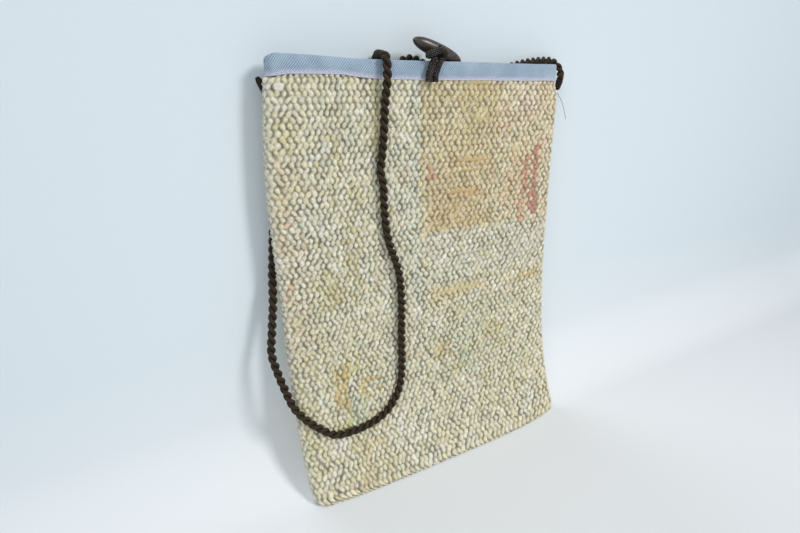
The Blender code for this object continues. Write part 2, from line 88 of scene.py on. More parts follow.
FOLD_DROP = 0.0005
KNOT_DIAMETER = 0.0072

# Sizes of the look alone
FOOT_CORNER = 0.009
LEFT_TIP_REACH = 0.0022
LEFT_MOUTH_INSET = 0.0046
TOGGLE_SLIM = 0.91
TOGGLE_DROOP = math.radians(3.0)
LEG_SPACING = 0.0052
LEG_VISIBLE = 0.0054
BRAID_PITCH = 0.0022
BRAID_STRANDS = 5
STITCH_LENGTH = 0.0021
STITCH_COUNT = 88
WHIPPING_PITCH = 0.00105
WHIPPING_RELIEF = 0.00016
TWILL_LINE = 0.0017
TWILL_FLOAT = 0.0013

# Route of the shoulder cord, repeated from the part's source: behind the left edge (inset, s), round that
# edge (out, s, n) and over the front (x, s)
REAR_LEFT_ROUTE = [
    (0.0046, 0.040),
    (0.0052, 0.060),
    (0.0042, 0.082),
    (0.0026, 0.098),
    (0.0012, 0.112),
]
SIDE_ROUTE = [
    (0.0000, 0.122, -0.0040),
    (0.0011, 0.132, -0.0038),
    (0.0027, 0.142, -0.0028),
    (0.0042, 0.152, -0.0008),
    (0.0062, 0.166, 0.0018),
    (0.0098, 0.186, 0.0034),
    (0.0126, 0.202, 0.0050),
    (0.0110, 0.216, 0.0072),
    (0.0082, 0.230, 0.0092),
    (0.0044, 0.245, 0.0112),
]
FRONT_ROUTE = [
    (-0.1252, 0.2563),
    (-0.1165, 0.2662),
    (-0.1040, 0.2764),
    (-0.0886, 0.2780),
    (-0.0730, 0.2762),
    (-0.0590, 0.2706),
    (-0.0492, 0.2606),
    (-0.0436, 0.2490),
    (-0.0410, 0.2340),
    (-0.0398, 0.2110),
    (-0.0387, 0.1860),
    (-0.0392, 0.1610),
    (-0.0432, 0.1440),
    (-0.0480, 0.1310),
    (-0.0512, 0.1140),
    (-0.0523, 0.0960),
    (-0.0528, 0.0845),
    (-0.0548, 0.0750),
    (-0.0534, 0.0640),
    (-0.0518, 0.0480),
    (-0.0508, 0.0300),
]
TURN_X = -0.0500
# The look's own route over the two lips, in a wide bend behind the mouth and round the right corner
TURN_FRONT = [(1.08, -4.2), (1.02, -2.4), (0.98, -1.2), (0.82, -0.42), (0.42, 0.04)]
TURN_REAR = [(0.12, 0.74), (0.72, 0.44), (1.00, -0.6), (1.02, -2.2)]
TURN_CREST = 0.50
TURN_SLANT = 0.0060
REAR_TOP_ROUTE = [
    (-0.0464, 0.0130),
    (-0.0506, 0.0210),
    (-0.0552, 0.0290),
    (-0.0575, 0.0372),
    (-0.0557, 0.0440),
    (-0.0508, 0.0489),
    (-0.0440, 0.0507),
    (-0.0373, 0.0489),
    (-0.0323, 0.0440),
    (-0.0302, 0.0372),
    (-0.0296, 0.0298),
    (-0.0292, 0.0222),
    (-0.0284, 0.0130),
    (-0.0263, 0.0052),
    (-0.0215, 0.0001),
    (-0.0150, -0.0016),
    (-0.0080, -0.0004),
    (-0.0010, 0.0026),
    (0.0050, 0.0050),
    (0.0120, 0.0070),
    (0.0300, 0.0095),
    (0.0480, 0.0092),
    (0.0700, 0.0062),
    (0.0880, 0.0012),
    (0.1040, -0.0018),
    (0.1180, -0.0034),
]
CORNER_ROUTE = [
    (-0.20, 0.90, 0.0036),
    (1.05, 0.62, 0.0020),
    (1.95, -0.45, -0.0030),
    (1.80, -1.25, -0.0086),
]
# Neck and hitch of the toggle's cord
NECK_SHAPE = [(0.98, 0.5), (0.5, 1.3)]
NECK_BEND = (-0.30, -0.10, -0.60)
NECK_SINK = 0.0007
NECK_TAPER = 0.32
LEG_STRAIGHT = 0.0015
HITCH_SHAPE = [
    (-6.4, -3.0, 2.0),
    (-7.2, -0.2, 2.5),
    (-6.0, 2.0, 3.4),
    (-3.4, 3.3, 4.5),
    (-0.6, 3.8, 5.0),
    (1.8, 3.5, 4.5),
    (3.6, 2.2, 2.6),
    (4.4, -0.2, 0.4),
    (3.8, -3.0, -0.2),
]

# Values that follow from the sizes
SEAM_SPACE = 2 * LINING_THICKNESS + 3 * GAP
SEAM_MIDDLE = WEAVE_THICKNESS + SEAM_SPACE / 2
LIP_HEIGHT = GAP + BINDING_THICKNESS
STITCH_HEIGHT = GAP + STITCH_DIAMETER
REAR_Y = -LIP_HEIGHT
TOP_Z = BINDING_HEIGHT / 2
CORD_SEAT = CORD_DIAMETER / 2 + GAP
LEG_SEAT = LEG_DIAMETER / 2 + GAP
BRAID_RADIUS = LEG_VISIBLE / 2 - 0.0002
FLOOR_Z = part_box("back_panel")[0][2]

# Wall behind the pouch, with a soft turn at its foot
WALL_Y = 0.0092
WALL_FOOT = 0.060
WALL_TOP = 2.5
STAGE_REACH = 3.0
FLOOR_PALE = (231, 234, 236)
WALL_PALE = (219, 228, 232)
# Painted pool of light: the stage's colour falls to these shares of its paleness away from this place
LIT_PLACE = (0.00, -0.04, -0.27)
UNLIT_SHARE = (0.79, 0.81, 0.83)

# Weave: staggered grains
GRAIN_PITCH = 0.0046
GRAIN_ROW = 0.0041
GRAIN_RELIEF = 0.0014
GRAIN_WIDTH = 0.485
GRAIN_LENGTH = 0.61
GRAIN_SWAY = 0.205
GRAIN_TILT = 0.55
GRAIN_POWER = 2.2
GRAIN_LEVEL = 0.62
# The hand weaver's uneven spacing: place across (mm) and share of the usual pitch
PITCH_ACROSS = [
    (-130, 0.95),
    (-90, 0.86),
    (-60, 0.97),
    (-30, 1.05),
    (0, 1.15),
    (40, 1.13),
    (70, 1.24),
    (110, 1.45),
]

# Edges of the cloth and the binding
EDGE_ROUND = 0.004
EDGE_BULGE = 0.0026
BULGE_DROP = 0.085
BULGE_REACH = 0.05
EDGE_REACH = 0.0010
CLOTH_TOP = 0.0085
BINDING_LEFT = 0.1288
BINDING_RIGHT = 0.1250
BINDING_TURN = 0.0048
CLOTH_END = 0.3262
FOOT_ROUND = 0.0022
FOOT_BOW = 0.0085
# Where the cloth's edges are drawn in or out: how far, from which s, over what length, side and power
EDGE_PULLS = [
    (-0.0026, 0.24, 0.08, -1, 3),
    (-0.0055, 0.024, -0.010, 1, 8),
    (0.0045, 0.0138, -0.003, -1, 8),
]
CREST_LEFT = 0.0052
CREST_RIGHT = 0.0012
CREST_REACH = 0.008
# Creases near the binding's right end: height, x, half width
BINDING_CREASES = [(0.0003, 0.1005, 0.0012), (0.0002, 0.105, 0.001)]
WHIP_PITCH = 0.0062
WHIP_STEP = 0.00045

# Shape of the pouch


def unit(value):
    """A value kept from 0 to 1."""
    return np.clip(value, 0.0, 1.0)


def lean(s):
    t = unit(np.asarray(s) / CLOTH_DROP)
    return MIDDLE_LEAN * t**2 + FOOT_LEAN * t**4


def spine_table():
    s = np.linspace(-0.1, CLOTH_DROP + 0.1, 601)
    middles = (s[1:] + s[:-1]) / 2
    step = s[1] - s[0]
    depth = np.concatenate([[0.0], -np.cumsum(np.sin(lean(middles)) * step)])
    height = 0.1 + np.concatenate([[0.0], -np.cumsum(np.cos(lean(middles)) * step)])
    return s, depth, height


SPINE_S, SPINE_Y, SPINE_Z = spine_table()


def place(x, s, n):
    """World points of places given in the pouch's own directions."""
    x, s, n = np.broadcast_arrays(np.asarray(x, float), s, n)
    angle = lean(s)
    y = REAR_Y + np.interp(s, SPINE_S, SPINE_Y) - n * np.cos(angle)
    z = TOP_Z + np.interp(s, SPINE_S, SPINE_Z) + n * np.sin(angle)
    return np.stack([x, y, z], axis=-1)


def side(s):
    t = unit(np.asarray(s) / CLOTH_DROP)
    return (TOP_WIDTH - (TOP_WIDTH - FOOT_WIDTH) * t**3) / 2


def belly(x, s):
    u = np.minimum(np.abs(x) / side(s), 1.0)
    t = unit(np.asarray(s) / CLOTH_DROP)
    return BELLY * (1 - u**4) * (1 - t**6)


def front_inner(x, s):
    return WEAVE_THICKNESS + SEAM_SPACE + belly(x, s)


def front_outer(x, s):
    return front_inner(x, s) + WEAVE_THICKNESS


def front_lip(x):
    return front_outer(x, 0.0) + LIP_HEIGHT


def rounded_side(s):
    """Half width with the foot's corners rounded."""
    left = np.clip(CLOTH_END - np.asarray(s), 0.0, FOOT_CORNER)
    return side(s) - (FOOT_CORNER - np.sqrt(FOOT_CORNER**2 - (FOOT_CORNER - left) ** 2))


def smooth(points, per_span=8):
    """A smooth curve through the given points."""
    p = np.array([np.ravel(point) for point in points], float)
    p = np.vstack([2 * p[0] - p[1], p, 2 * p[-1] - p[-2]])
    found = []
    for a, b, c, d in zip(p, p[1:], p[2:], p[3:]):
        for k in range(per_span):
            t = k / per_span
            bend = (2 * a - 5 * b + 4 * c - d) * t**2 + (3 * b - a - 3 * c + d) * t**3
            found.append(b + ((c - a) * t + bend) / 2)
    return np.array(found + [p[-2]])


def distances(points):
    """Distance along a line at each of its points."""
    return np.concatenate([[0.0], np.cumsum(np.linalg.norm(np.diff(points, axis=0), axis=1))])


def even(points, step):
    """The same line with its points at even distances."""
    along = distances(points)
    count = max(int(round(along[-1] / step)), 2)
    at = np.linspace(0.0, along[-1], count + 1)
    return np.stack([np.interp(at, along, points[:, k]) for k in range(3)], axis=1)


def line_length(points):
    return float(distances(points)[-1])


# Meshes


def linear(red, green, blue):
    """Linear colour of a colour as seen on a screen, 0 to 255."""
    c = np.array([red, green, blue], float) / 255
    return np.where(c <= 0.04045, c / 12.92, ((c + 0.055) / 1.055) ** 2.4)


def shown(red, green, blue):
    """The same as a plain tuple, for a material."""
    return tuple(linear(red, green, blue))


def add_mesh(name, points, faces, material, attributes=None):
    """A smooth mesh piece, with values kept on its points for its material."""
    mesh = bpy.data.meshes.new(name)
    mesh.from_pydata(np.asarray(points, float).reshape(-1, 3).tolist(), [], faces)
    mesh.shade_smooth()
    for key, values in (attributes or {}).items():
        values = np.asarray(values, np.float32)
        if values.ndim == 2:
            values = np.concatenate([values, np.ones((len(values), 1), np.float32)], axis=1)
            mesh.attributes.new(key, "FLOAT_COLOR", "POINT").data.foreach_set("color", values.ravel())
        else:
            mesh.attributes.new(key, "FLOAT", "POINT").data.foreach_set("value", values.ravel())
    mesh.update()
    piece = bpy.data.objects.new(name, mesh)
    bpy.context.scene.collection.objects.link(piece)
    mesh.materials.append(material)
    return piece


def grid_faces(rows, columns, flip=False, closed=False):
    """Faces of a grid of points, row by row."""
    i = np.arange(rows - 1)[:, None]
    j = np.arange(columns if closed else columns - 1)[None, :]
    a = i * columns + j
    b = i * columns + (j + 1) % columns
    quads = np.stack([a, b, b + columns, a + columns], axis=-1).reshape(-1, 4)
    if flip:
        quads = quads[:, ::-1]
    return quads.tolist()


def tube_faces(rows, sides, flip=False):
    """Faces of a tube of rings, closed at both ends."""
    ends = [list(range(sides))[::-1], [(rows - 1) * sides + k for k in range(sides)]]
    if flip:
        ends = [end[::-1] for end in ends]
    return grid_faces(rows, sides, flip, closed=True) + ends


def frames_along(path):
    """Directions across a line at each of its points, that don't twist about it."""
    tangent = np.gradient(path, axis=0)
    tangent /= np.linalg.norm(tangent, axis=1)[:, None]
    first = np.cross(tangent[0], [0.0, 0.0, 1.0])
    if np.linalg.norm(first) < 1e-3:
        first = np.cross(tangent[0], [1.0, 0.0, 0.0])
    normal = np.zeros_like(path)
    normal[0] = first / np.linalg.norm(first)
    for i in range(1, len(path)):
        n = normal[i - 1] - tangent[i] * (normal[i - 1] @ tangent[i])
        normal[i] = n / np.linalg.norm(n)
    return tangent, normal, np.cross(tangent, normal)


class Pile:
    """Shapes gathered into one mesh, with the way along and round each kept on its points."""

    def __init__(self):
        self.points, self.faces, self.lay, self.turn = [], [], [], []
        self.count = 0

    def add(self, points, faces, lay, turn):
        self.faces += [[k + self.count for k in face] for face in faces]
        self.points.append(points.reshape(-1, 3))
        self.lay.append(lay)
        self.turn.append(turn)
        self.count += len(lay)

    def tube(self, path, radius, sides=8, relief=None):
        """A round tube along a line, its radius a number or a list, with relief(along, angle) added to it."""
        _, normal, other = frames_along(path)
        along = distances(path)
        angle = np.linspace(0.0, 2 * math.pi, sides, endpoint=False)
        r = np.broadcast_to(np.asarray(radius, float).reshape(-1, 1), (len(path), sides))
        if relief is not None:
            r = r + relief(along[:, None], angle[None, :])
        ring = np.cos(angle)[None, :, None] * normal[:, None] + np.sin(angle)[None, :, None] * other[:, None]
        points = path[:, None] + ring * r[..., None]
        turn = np.tile(angle / (2 * math.pi), len(path))
        self.add(points, tube_faces(len(path), sides), np.repeat(along, sides), turn)

    def make(self, name, material):
        values = {"lay": np.concatenate(self.lay), "turn": np.concatenate(self.turn)}
        return add_mesh(name, np.concatenate(self.points), self.faces, material, values)


# Materials


class Nodes:
    """Short calls for a material's nodes."""

    def __init__(self, name):
        self.material = bpy.data.materials.new(name)
        self.material.use_nodes = True
        self.tree = self.material.node_tree
        self.shader = self.tree.nodes["Principled BSDF"]

    def put(self, socket, value):
        """Link an output to a socket, or set the socket to a plain value."""
        if isinstance(value, bpy.types.NodeSocket):
            self.tree.links.new(value, socket)
        else:
            socket.default_value = value

    def node(self, kind, inputs=None, **settings):
        made = self.tree.nodes.new(kind)
        for key, value in settings.items():
            setattr(made, key, value)
        for key, value in (inputs or {}).items():
            self.put(made.inputs[key], value)
        return made

    def attribute(self, name, output="Fac"):
        return self.node("ShaderNodeAttribute", attribute_name=name).outputs[output]

    def math(self, operation, *values):
        return self.node("ShaderNodeMath", dict(enumerate(values)), operation=operation).outputs[0]

    def plus(self, a, b):
        return self.math("ADD", a, b)

    def minus(self, a, b):
        return self.math("SUBTRACT", a, b)

    def times(self, a, b):
        return self.math("MULTIPLY", a, b)

    def sine(self, a):
        return self.math("SINE", a)

    def mix(self, factor, a, b, blend="MIX"):
        made = self.node("ShaderNodeMix", data_type="RGBA", blend_type=blend)
        for key, value in (("Factor", factor), ("A", a), ("B", b)):
            socket = [s for s in made.inputs if s.name == key and s.enabled][0]
            self.put(socket, (*value, 1.0) if isinstance(value, tuple) else value)
        return [s for s in made.outputs if s.enabled][0]

    def noise(self, vector, scale, detail=2.0, roughness=0.5):
        inputs = {"Vector": vector, "Scale": scale, "Detail": detail, "Roughness": roughness}
        return self.node("ShaderNodeTexNoise", inputs).outputs["Fac"]

    def ramp(self, factor, low, high):
        """Factor rescaled from low..high to 0..1."""
        made = self.node("ShaderNodeMapRange", {"Value": factor, "From Min": low, "From Max": high})
        return made.outputs["Result"]

    def place(self):
        return self.node("ShaderNodeTexCoord").outputs["Object"]

    def join(self, x, y):
        return self.node("ShaderNodeCombineXYZ", {"X": x, "Y": y}).outputs[0]

    def bump(self, height, distance, strength):
        made = self.node("ShaderNodeBump", {"Height": height, "Distance": distance, "Strength": strength})
        self.tree.links.new(made.outputs["Normal"], self.shader.inputs["Normal"])

    def link(self, output, name):
        self.tree.links.new(output, self.shader.inputs[name])

    def set(self, **values):
        for key, value in values.items():
            self.shader.inputs[key.replace("_", " ")].default_value = value
        return self


def weave_material(name):
    """Cotton yarn: the grain's own colour, fine fibres and a soft bloom."""
    m = Nodes(name).set(Roughness=0.92, Sheen_Weight=0.10, Sheen_Roughness=0.6, Specular_IOR_Level=0.25)
    where = m.place()
    fibre = m.noise(where, 1600.0, 3.0, 0.6)
    cloud = m.noise(where, 160.0, 2.0)
    colour = m.attribute("colour", "Color")
    lighter = m.mix(m.times(m.ramp(fibre, 0.35, 0.75), 0.30), colour, shown(240, 238, 226))
    darker = m.mix(m.times(m.ramp(cloud, 0.45, 0.8), 0.25), lighter, shown(150, 148, 122))
    m.link(darker, "Base Color")
    m.bump(fibre, 0.0004, 0.5)
    return m.material


def twill_material(name, colour, pale, hem=None):
    """Blue-grey twill: diagonal lines broken into short floats, and a paler hem."""
    m = Nodes(name).set(Roughness=0.78, Sheen_Weight=0.12, Sheen_Roughness=0.5, Specular_IOR_Level=0.3)
    across = m.attribute("lay")
    up = m.attribute("turn")
    where = m.place()
    wander = m.times(m.noise(where, 60.0, 2.0), 0.0016)
    slope = m.plus(m.minus(across, m.times(up, 0.8)), wander)
    line = m.sine(m.times(slope, 2 * math.pi / TWILL_LINE))
    floats = m.sine(m.times(m.plus(across, up), 2 * math.pi / TWILL_FLOAT))
    twill = m.plus(line, m.times(floats, 0.75))
    worn = m.noise(where, 55.0, 3.0)
    fibre = m.noise(where, 2500.0, 2.0)
    base = m.mix(m.ramp(twill, -1.4, 1.4), shown(*colour), shown(*pale))
    aged = m.mix(m.times(m.ramp(worn, 0.42, 0.70), 0.45), base, shown(*pale))
    if hem is not None:
        aged = m.mix(m.attribute("hem"), aged, shown(*hem))
    m.link(aged, "Base Color")
    m.bump(m.plus(twill, m.times(fibre, 0.6)), 0.00016, 0.8)
    return m.material


def cord_material(name, dark, light, rough=0.5, twist=0.0, braid=False):
    """Satin yarn: fine fibres along the strand, with painted glints, and on a braid a painted highlight on
    its crowns.
    """
    m = Nodes(name).set(Roughness=rough, Sheen_Weight=0.02, Sheen_Roughness=0.4, Specular_IOR_Level=0.22)
    lay = m.attribute("lay")
    turn = m.attribute("turn")
    skew = m.plus(turn, m.times(lay, twist))
    fibre = m.noise(m.join(m.times(skew, 26.0), m.times(lay, 160.0)), 1.0, 3.0, 0.65)
    cloud = m.noise(m.place(), 220.0, 2.0)
    # Painted glints: small pale specks added to the yarn's colour
    painted_glint = m.ramp(m.noise(m.place(), 1500.0, 1.0), 0.52, 0.72)
    shade = m.plus(m.times(m.ramp(fibre, 0.40, 0.72), 0.55), m.times(cloud, 0.2))
    shade = m.plus(shade, m.times(painted_glint, 0.5))
    colour = m.mix(shade, shown(*dark), shown(*light))
    if braid:
        # Painted highlight: the braid's crowns turn pale grey where its yarns cross over
        round_it = m.times(turn, BRAID_STRANDS * 2 * math.pi)
        along = m.times(lay, 2 * math.pi / BRAID_PITCH)
        one_way = m.sine(m.plus(round_it, along))
        other_way = m.sine(m.minus(round_it, along))
        crown = m.ramp(m.times(one_way, other_way), 0.30, 0.85)
        crown = m.times(crown, m.times(m.ramp(cloud, 0.35, 0.65), 0.8))
        colour = m.mix(crown, colour, shown(128, 124, 128))
    m.link(colour, "Base Color")
    m.bump(m.plus(fibre, m.times(painted_glint, 0.5)), 0.0003, 0.7)
    return m.material


def horn_material(name):
    """Polished dark horn: long streaks, and a soft wear of its gloss."""
    m = Nodes(name).set(Specular_IOR_Level=0.5, Coat_Weight=0.25, Coat_Roughness=0.18)
    lay = m.attribute("lay")
    where = m.place()
    stretch = m.node("ShaderNodeVectorMath", {0: where, 1: (40.0, 420.0, 420.0)}, operation="MULTIPLY")
    streak = m.noise(stretch.outputs[0], 1.0, 4.0, 0.6)
    cloud = m.noise(where, 120.0, 2.0)
    base = m.mix(m.ramp(streak, 0.3, 0.75), shown(36, 31, 26), shown(84, 73, 62))
    tip = m.times(m.ramp(lay, 0.55, 1.0), 0.35)
    m.link(m.mix(tip, base, shown(46, 42, 38)), "Base Color")
    spread = {"Value": cloud, "From Min": 0.3, "From Max": 0.7, "To Min": 0.26, "To Max": 0.42}
    m.link(m.node("ShaderNodeMapRange", spread).outputs["Result"], "Roughness")
    m.bump(streak, 0.00008, 0.35)
    return m.material


def thread_material(name, dark, light):
    """Sewing thread: two plies that wind round each other."""
    m = Nodes(name).set(Roughness=0.6, Sheen_Weight=0.1, Specular_IOR_Level=0.35)
    wind = m.times(m.attribute("lay"), 9000.0)
    ply = m.sine(m.plus(wind, m.times(m.attribute("turn"), 12.57)))
    fibre = m.noise(m.place(), 3000.0, 2.0)
    shade = m.plus(m.times(m.ramp(ply, -1.0, 1.0), 0.6), m.times(fibre, 0.4))
    m.link(m.mix(shade, shown(*dark), shown(*light)), "Base Color")
    m.bump(ply, 0.00006, 0.5)
    return m.material


def stage_material(name):
    """Pale sweep: floor and wall colours run into each other, with a painted pool of light: a little less
    pale away from the lit place.
    """
    m = Nodes(name).set(Roughness=0.95, Specular_IOR_Level=0.1)
    where = m.place()
    up = m.node("ShaderNodeSeparateXYZ", {0: where}).outputs["Z"]
    rise = m.ramp(up, FLOOR_Z + 0.004, FLOOR_Z + 0.12)
    pale = m.mix(rise, shown(*FLOOR_PALE), shown(*WALL_PALE))
    away = m.node("ShaderNodeVectorMath", {0: where, 1: LIT_PLACE}, operation="DISTANCE").outputs["Value"]
    fall = m.plus(m.times(m.noise(where, 3.0, 2.0), 0.1), m.ramp(away, 0.14, 0.70))
    m.link(m.mix(fall, pale, m.mix(1.0, pale, UNLIT_SHARE, "MULTIPLY")), "Base Color")
    return m.material


def wall_material(name):
    """Pale wall with nothing on its rear side."""
    material = stage_material(name)
    tree = material.node_tree
    clear = tree.nodes.new("ShaderNodeBsdfTransparent")
    choose = tree.nodes.new("ShaderNodeMixShader")
    sides = tree.nodes.new("ShaderNodeNewGeometry")
    tree.links.new(sides.outputs["Backfacing"], choose.inputs[0])
    tree.links.new(tree.nodes["Principled BSDF"].outputs[0], choose.inputs[1])
    tree.links.new(clear.outputs[0], choose.inputs[2])
    tree.links.new(choose.outputs[0], tree.nodes["Material Output"].inputs["Surface"])
    return material


WEAVE = weave_material("woven_cotton_yarn")
TWILL = twill_material("binding_twill_cloth", (92, 117, 148), (184, 203, 216), (214, 211, 228))
LINING = twill_material("lining_twill_cloth", (108, 126, 152), (160, 176, 196))
ROPE = cord_material("brown_rope", (10, 8, 6), (86, 70, 48), 0.58, 120.0)
BRAID = cord_material("brown_braid", (11, 8, 6), (58, 44, 34), 0.55, braid=True)
WHIPPING = cord_material("brown_whipping_thread", (20, 15, 11), (52, 42, 34), 0.6)
HORN = horn_material("polished_horn_streaks")
STITCH = thread_material("lavender_thread", (176, 176, 206), (222, 220, 236))
COTTON = thread_material("cream_thread", (196, 190, 168), (236, 233, 220))

# Weave colours, as seen on a screen
CREAM = (224, 216, 184)
# Painted shade in the gaps between grains, tinted by the yarn around it: browner in the tan yarn, teal near
# the teal line
GAP_SHADE = (80, 75, 48)
TAN_SHADE = (108, 86, 42)
TEAL_SHADE = (72, 90, 78)
EDGE_PALE = (234, 231, 220)
# How far the painted shade in a gap climbs a grain and how quickly it fades
GAP_REACH = 1.06
GAP_FADE = 1.6
# The teal line and the teal field to its left: x, half width, x of the field's edge, strength
TEAL_LINE_X = -0.0205
TEAL_LINE_HALF = 0.003
TEAL_FIELD_X = -0.019
TEAL_FIELD = 0.35

# Coloured yarn on the front: x from, x to, s from, s to (mm), share of grains, depth of colour, colour
FRONT_PATCHES = [
    (-19, 126, 8, 129.5, 1.00, 0.60, (216, 198, 146)),
    (-19, 56, 8, 129, 0.60, 0.55, (206, 184, 126)),
    (-12, 60, 84, 129, 0.55, 0.55, (196, 170, 118)),
    (20, 50, 14, 60, 0.55, 0.60, (194, 178, 116)),
    (8, 52, 71, 79.5, 1.00, 0.62, (200, 162, 98)),
    (8, 44, 94.5, 102.5, 1.00, 0.66, (202, 160, 92)),
    (22, 60, 9, 20.5, 1.00, 0.50, (196, 166, 104)),
    (-8, 44, 108, 129, 0.80, 0.50, (200, 168, 104)),
    (60, 128, 10, 130, 0.40, 0.55, (226, 212, 184)),
    (66, 92, 20, 120, 0.45, 0.60, (214, 180, 134)),
    (88, 128, 8, 66, 0.60, 0.60, (222, 192, 160)),
    (108, 128, 60, 150, 0.50, 0.45, (222, 184, 158)),
    (88, 94.5, 72, 112, 0.95, 0.88, (194, 104, 78)),
    (84, 92, 110, 130, 0.80, 0.70, (212, 142, 114)),
    (48, 72, 34, 94, 0.36, 0.40, (216, 168, 138)),
    (76, 98, 10, 36, 0.60, 0.60, (236, 220, 204)),
    (100.5, 108, 64, 104, 0.96, 0.95, (178, 84, 60)),
    (97, 111, 104, 126, 0.74, 0.92, (182, 84, 66)),
    (-11, -4, 72, 92, 0.70, 0.75, (200, 132, 104)),
    (-58.5, -53, 10, 78, 0.80, 0.70, (190, 182, 116)),
    (-24.5, -19, 8, 205, 0.85, 0.45, (196, 204, 188)),
    (-50, -24, 60, 205, 0.40, 0.40, (208, 210, 194)),
    (-132, -121, 50, 178, 0.55, 0.42, (216, 192, 150)),
    (-130, -121, 84, 172, 0.20, 0.42, (208, 146, 118)),
    (-118, -108, 96, 128, 0.22, 0.40, (212, 156, 128)),
    (-128, -112, 176, 326, 0.55, 0.55, (214, 204, 152)),
    (-102, -86, 50, 98, 0.50, 0.60, (200, 190, 128)),
    (-128, -114, 14, 60, 0.55, 0.55, (204, 198, 140)),
    (-84, -62, 40, 120, 0.34, 0.50, (208, 198, 142)),
    (-104, -70, 124, 176, 0.46, 0.65, (202, 186, 118)),
    (-112, -98, 150, 210, 0.34, 0.45, (208, 198, 146)),
    (-8, 60, 173, 187, 0.80, 0.60, (212, 190, 128)),
    (60, 124, 176, 190, 0.45, 0.55, (210, 186, 128)),
    (90, 118, 179, 188, 0.70, 0.80, (200, 170, 104)),
    (-15, 100, 188, 272, 0.55, 0.45, (206, 204, 164)),
    (0, 60, 200, 262, 0.42, 0.45, (192, 202, 166)),
    (8, 26, 250, 258, 0.75, 0.60, (200, 186, 118)),
    (16, 30, 236, 246, 0.55, 0.65, (150, 178, 148)),
    (-6, 12, 224, 242, 0.65, 0.70, (208, 188, 124)),
    (46, 78, 214, 234, 0.60, 0.60, (206, 190, 128)),
    (-104, -60, 212, 284, 0.35, 0.45, (212, 196, 138)),
    (-97.5, -86, 220, 245, 0.72, 0.78, (206, 178, 92)),
    (-78, -60, 236, 256, 0.72, 0.78, (202, 174, 90)),
    (-100, -87, 246, 262, 0.62, 0.74, (204, 176, 96)),
    (-87, -79.5, 234, 249, 0.80, 0.70, (226, 218, 222)),
    (-87, -76, 246, 282, 0.75, 0.60, (196, 206, 170)),
    (-98, -88, 266, 279, 0.70, 0.75, (198, 194, 112)),
    (-88, -75, 212, 228, 0.50, 0.65, (204, 198, 122)),
    (-92, -60, 286, 322, 0.50, 0.45, (212, 192, 132)),
    (-15, 122, 129, 176, 0.55, 0.45, (200, 198, 180)),
    (30, 124, 262, 322, 0.34, 0.45, (210, 196, 146)),
]
# Yarn lying along the rows on the front: x, s, half length, half width (mm), colour
FRONT_FLOATS = [
    (31, 72.5, 17, 1.7, (186, 156, 100)),
    (30, 80.5, 12, 1.5, (188, 162, 110)),
    (20, 97, 17, 1.8, (190, 156, 94)),
    (40, 42, 11, 1.6, (180, 162, 98)),
    (34, 14.5, 17, 1.9, (184, 160, 100)),
    (34, 150, 18, 1.3, (178, 178, 160)),
    (36, 158, 16, 1.2, (182, 181, 164)),
    (96, 152, 16, 1.1, (180, 178, 162)),
    (96, 160, 15, 1.1, (184, 182, 166)),
    (22, 181, 25, 1.6, (194, 178, 122)),
    (104, 183, 10, 1.7, (186, 160, 92)),
    (-122.5, 18, 3.2, 3, (230, 222, 210)),
    (64, 244, 11, 1.2, (190, 178, 118)),
]
BACK_PATCHES = [
    (-60, 40, 150, 250, 0.55, 0.60, (206, 188, 146)),
    (70, 76, 20, 200, 0.60, 0.70, (196, 190, 132)),
    (-104, -98, 60, 220, 0.45, 0.60, (214, 160, 134)),
    (-20, 110, 40, 120, 0.45, 0.50, (204, 206, 182)),
    (-110, 110, 240, 300, 0.35, 0.50, (210, 198, 148)),
]
# Fibres of other colours on the yarn: x from, x to, s from, s to (mm), share of places, depth, colour
FLECKS = [
    (-140, 140, 0, 340, 0.080, 0.75, (253, 251, 243)),
    (-140, 140, 0, 340, 0.080, 0.60, (152, 144, 108)),
    (-140, 140, 0, 340, 0.012, 0.60, (196, 152, 104)),
    (-140, 140, 0, 340, 0.012, 0.55, (172, 178, 120)),
    (-128, -112, 60, 210, 0.045, 0.85, (200, 112, 92)),
    (-130, -108, 40, 240, 0.060, 0.75, (204, 160, 92)),
    (-126, -106, 80, 200, 0.035, 0.65, (132, 132, 128)),
    (-20, 126, 8, 130, 0.060, 0.70, (196, 150, 84)),
    (86, 112, 60, 130, 0.060, 0.80, (188, 84, 64)),
]
# Odd yarn anywhere: share of grains, depth of colour, colour
STRAY_YARN = [
    (0.22, 0.50, (206, 198, 150)),
    (0.18, 0.45, (196, 198, 178)),
    (0.04, 0.35, (216, 186, 160)),
    (0.16, 0.50, (238, 235, 224)),
]


def soft_chance(rng, rows, columns, reach):
    """Even chances, 0 to 1, that neighbouring grains partly share."""
    raw = rng.normal(size=(rows + 2 * reach[0], columns + 2 * reach[1]))
    spread = np.cumsum(np.cumsum(np.pad(raw, ((1, 0), (1, 0))), axis=0), axis=1)
    tall, wide = 2 * reach[0] + 1, 2 * reach[1] + 1
    near = spread[tall:, wide:] - spread[:-tall, wide:] - spread[tall:, :-wide] + spread[:-tall, :-wide]
    mixed = near[:rows, :columns] / math.sqrt(tall * wide) + 0.75 * rng.normal(size=(rows, columns))
    order = np.argsort(np.argsort(mixed.ravel()))
    return (order / (mixed.size - 1)).reshape(rows, columns)


def sway(r):
    """How far the columns of grains swing to one side in row r."""
    return GRAIN_SWAY * (1 - np.cos(math.pi * (r - 0.5)))


def grain_count(x):
    """Number of grains from the left edge to x, and the pitch there."""
    line = np.linspace(-0.14, 0.14, 561)
    places, shares = zip(*PITCH_ACROSS)
    pitch = GRAIN_PITCH * np.interp(line, np.array(places) / 1000, shares)
    count = np.concatenate([[0.0], np.cumsum(0.5 * (1 / pitch[1:] + 1 / pitch[:-1]) * np.diff(line))])
    return np.interp(x, line, count), np.interp(x, line, pitch)


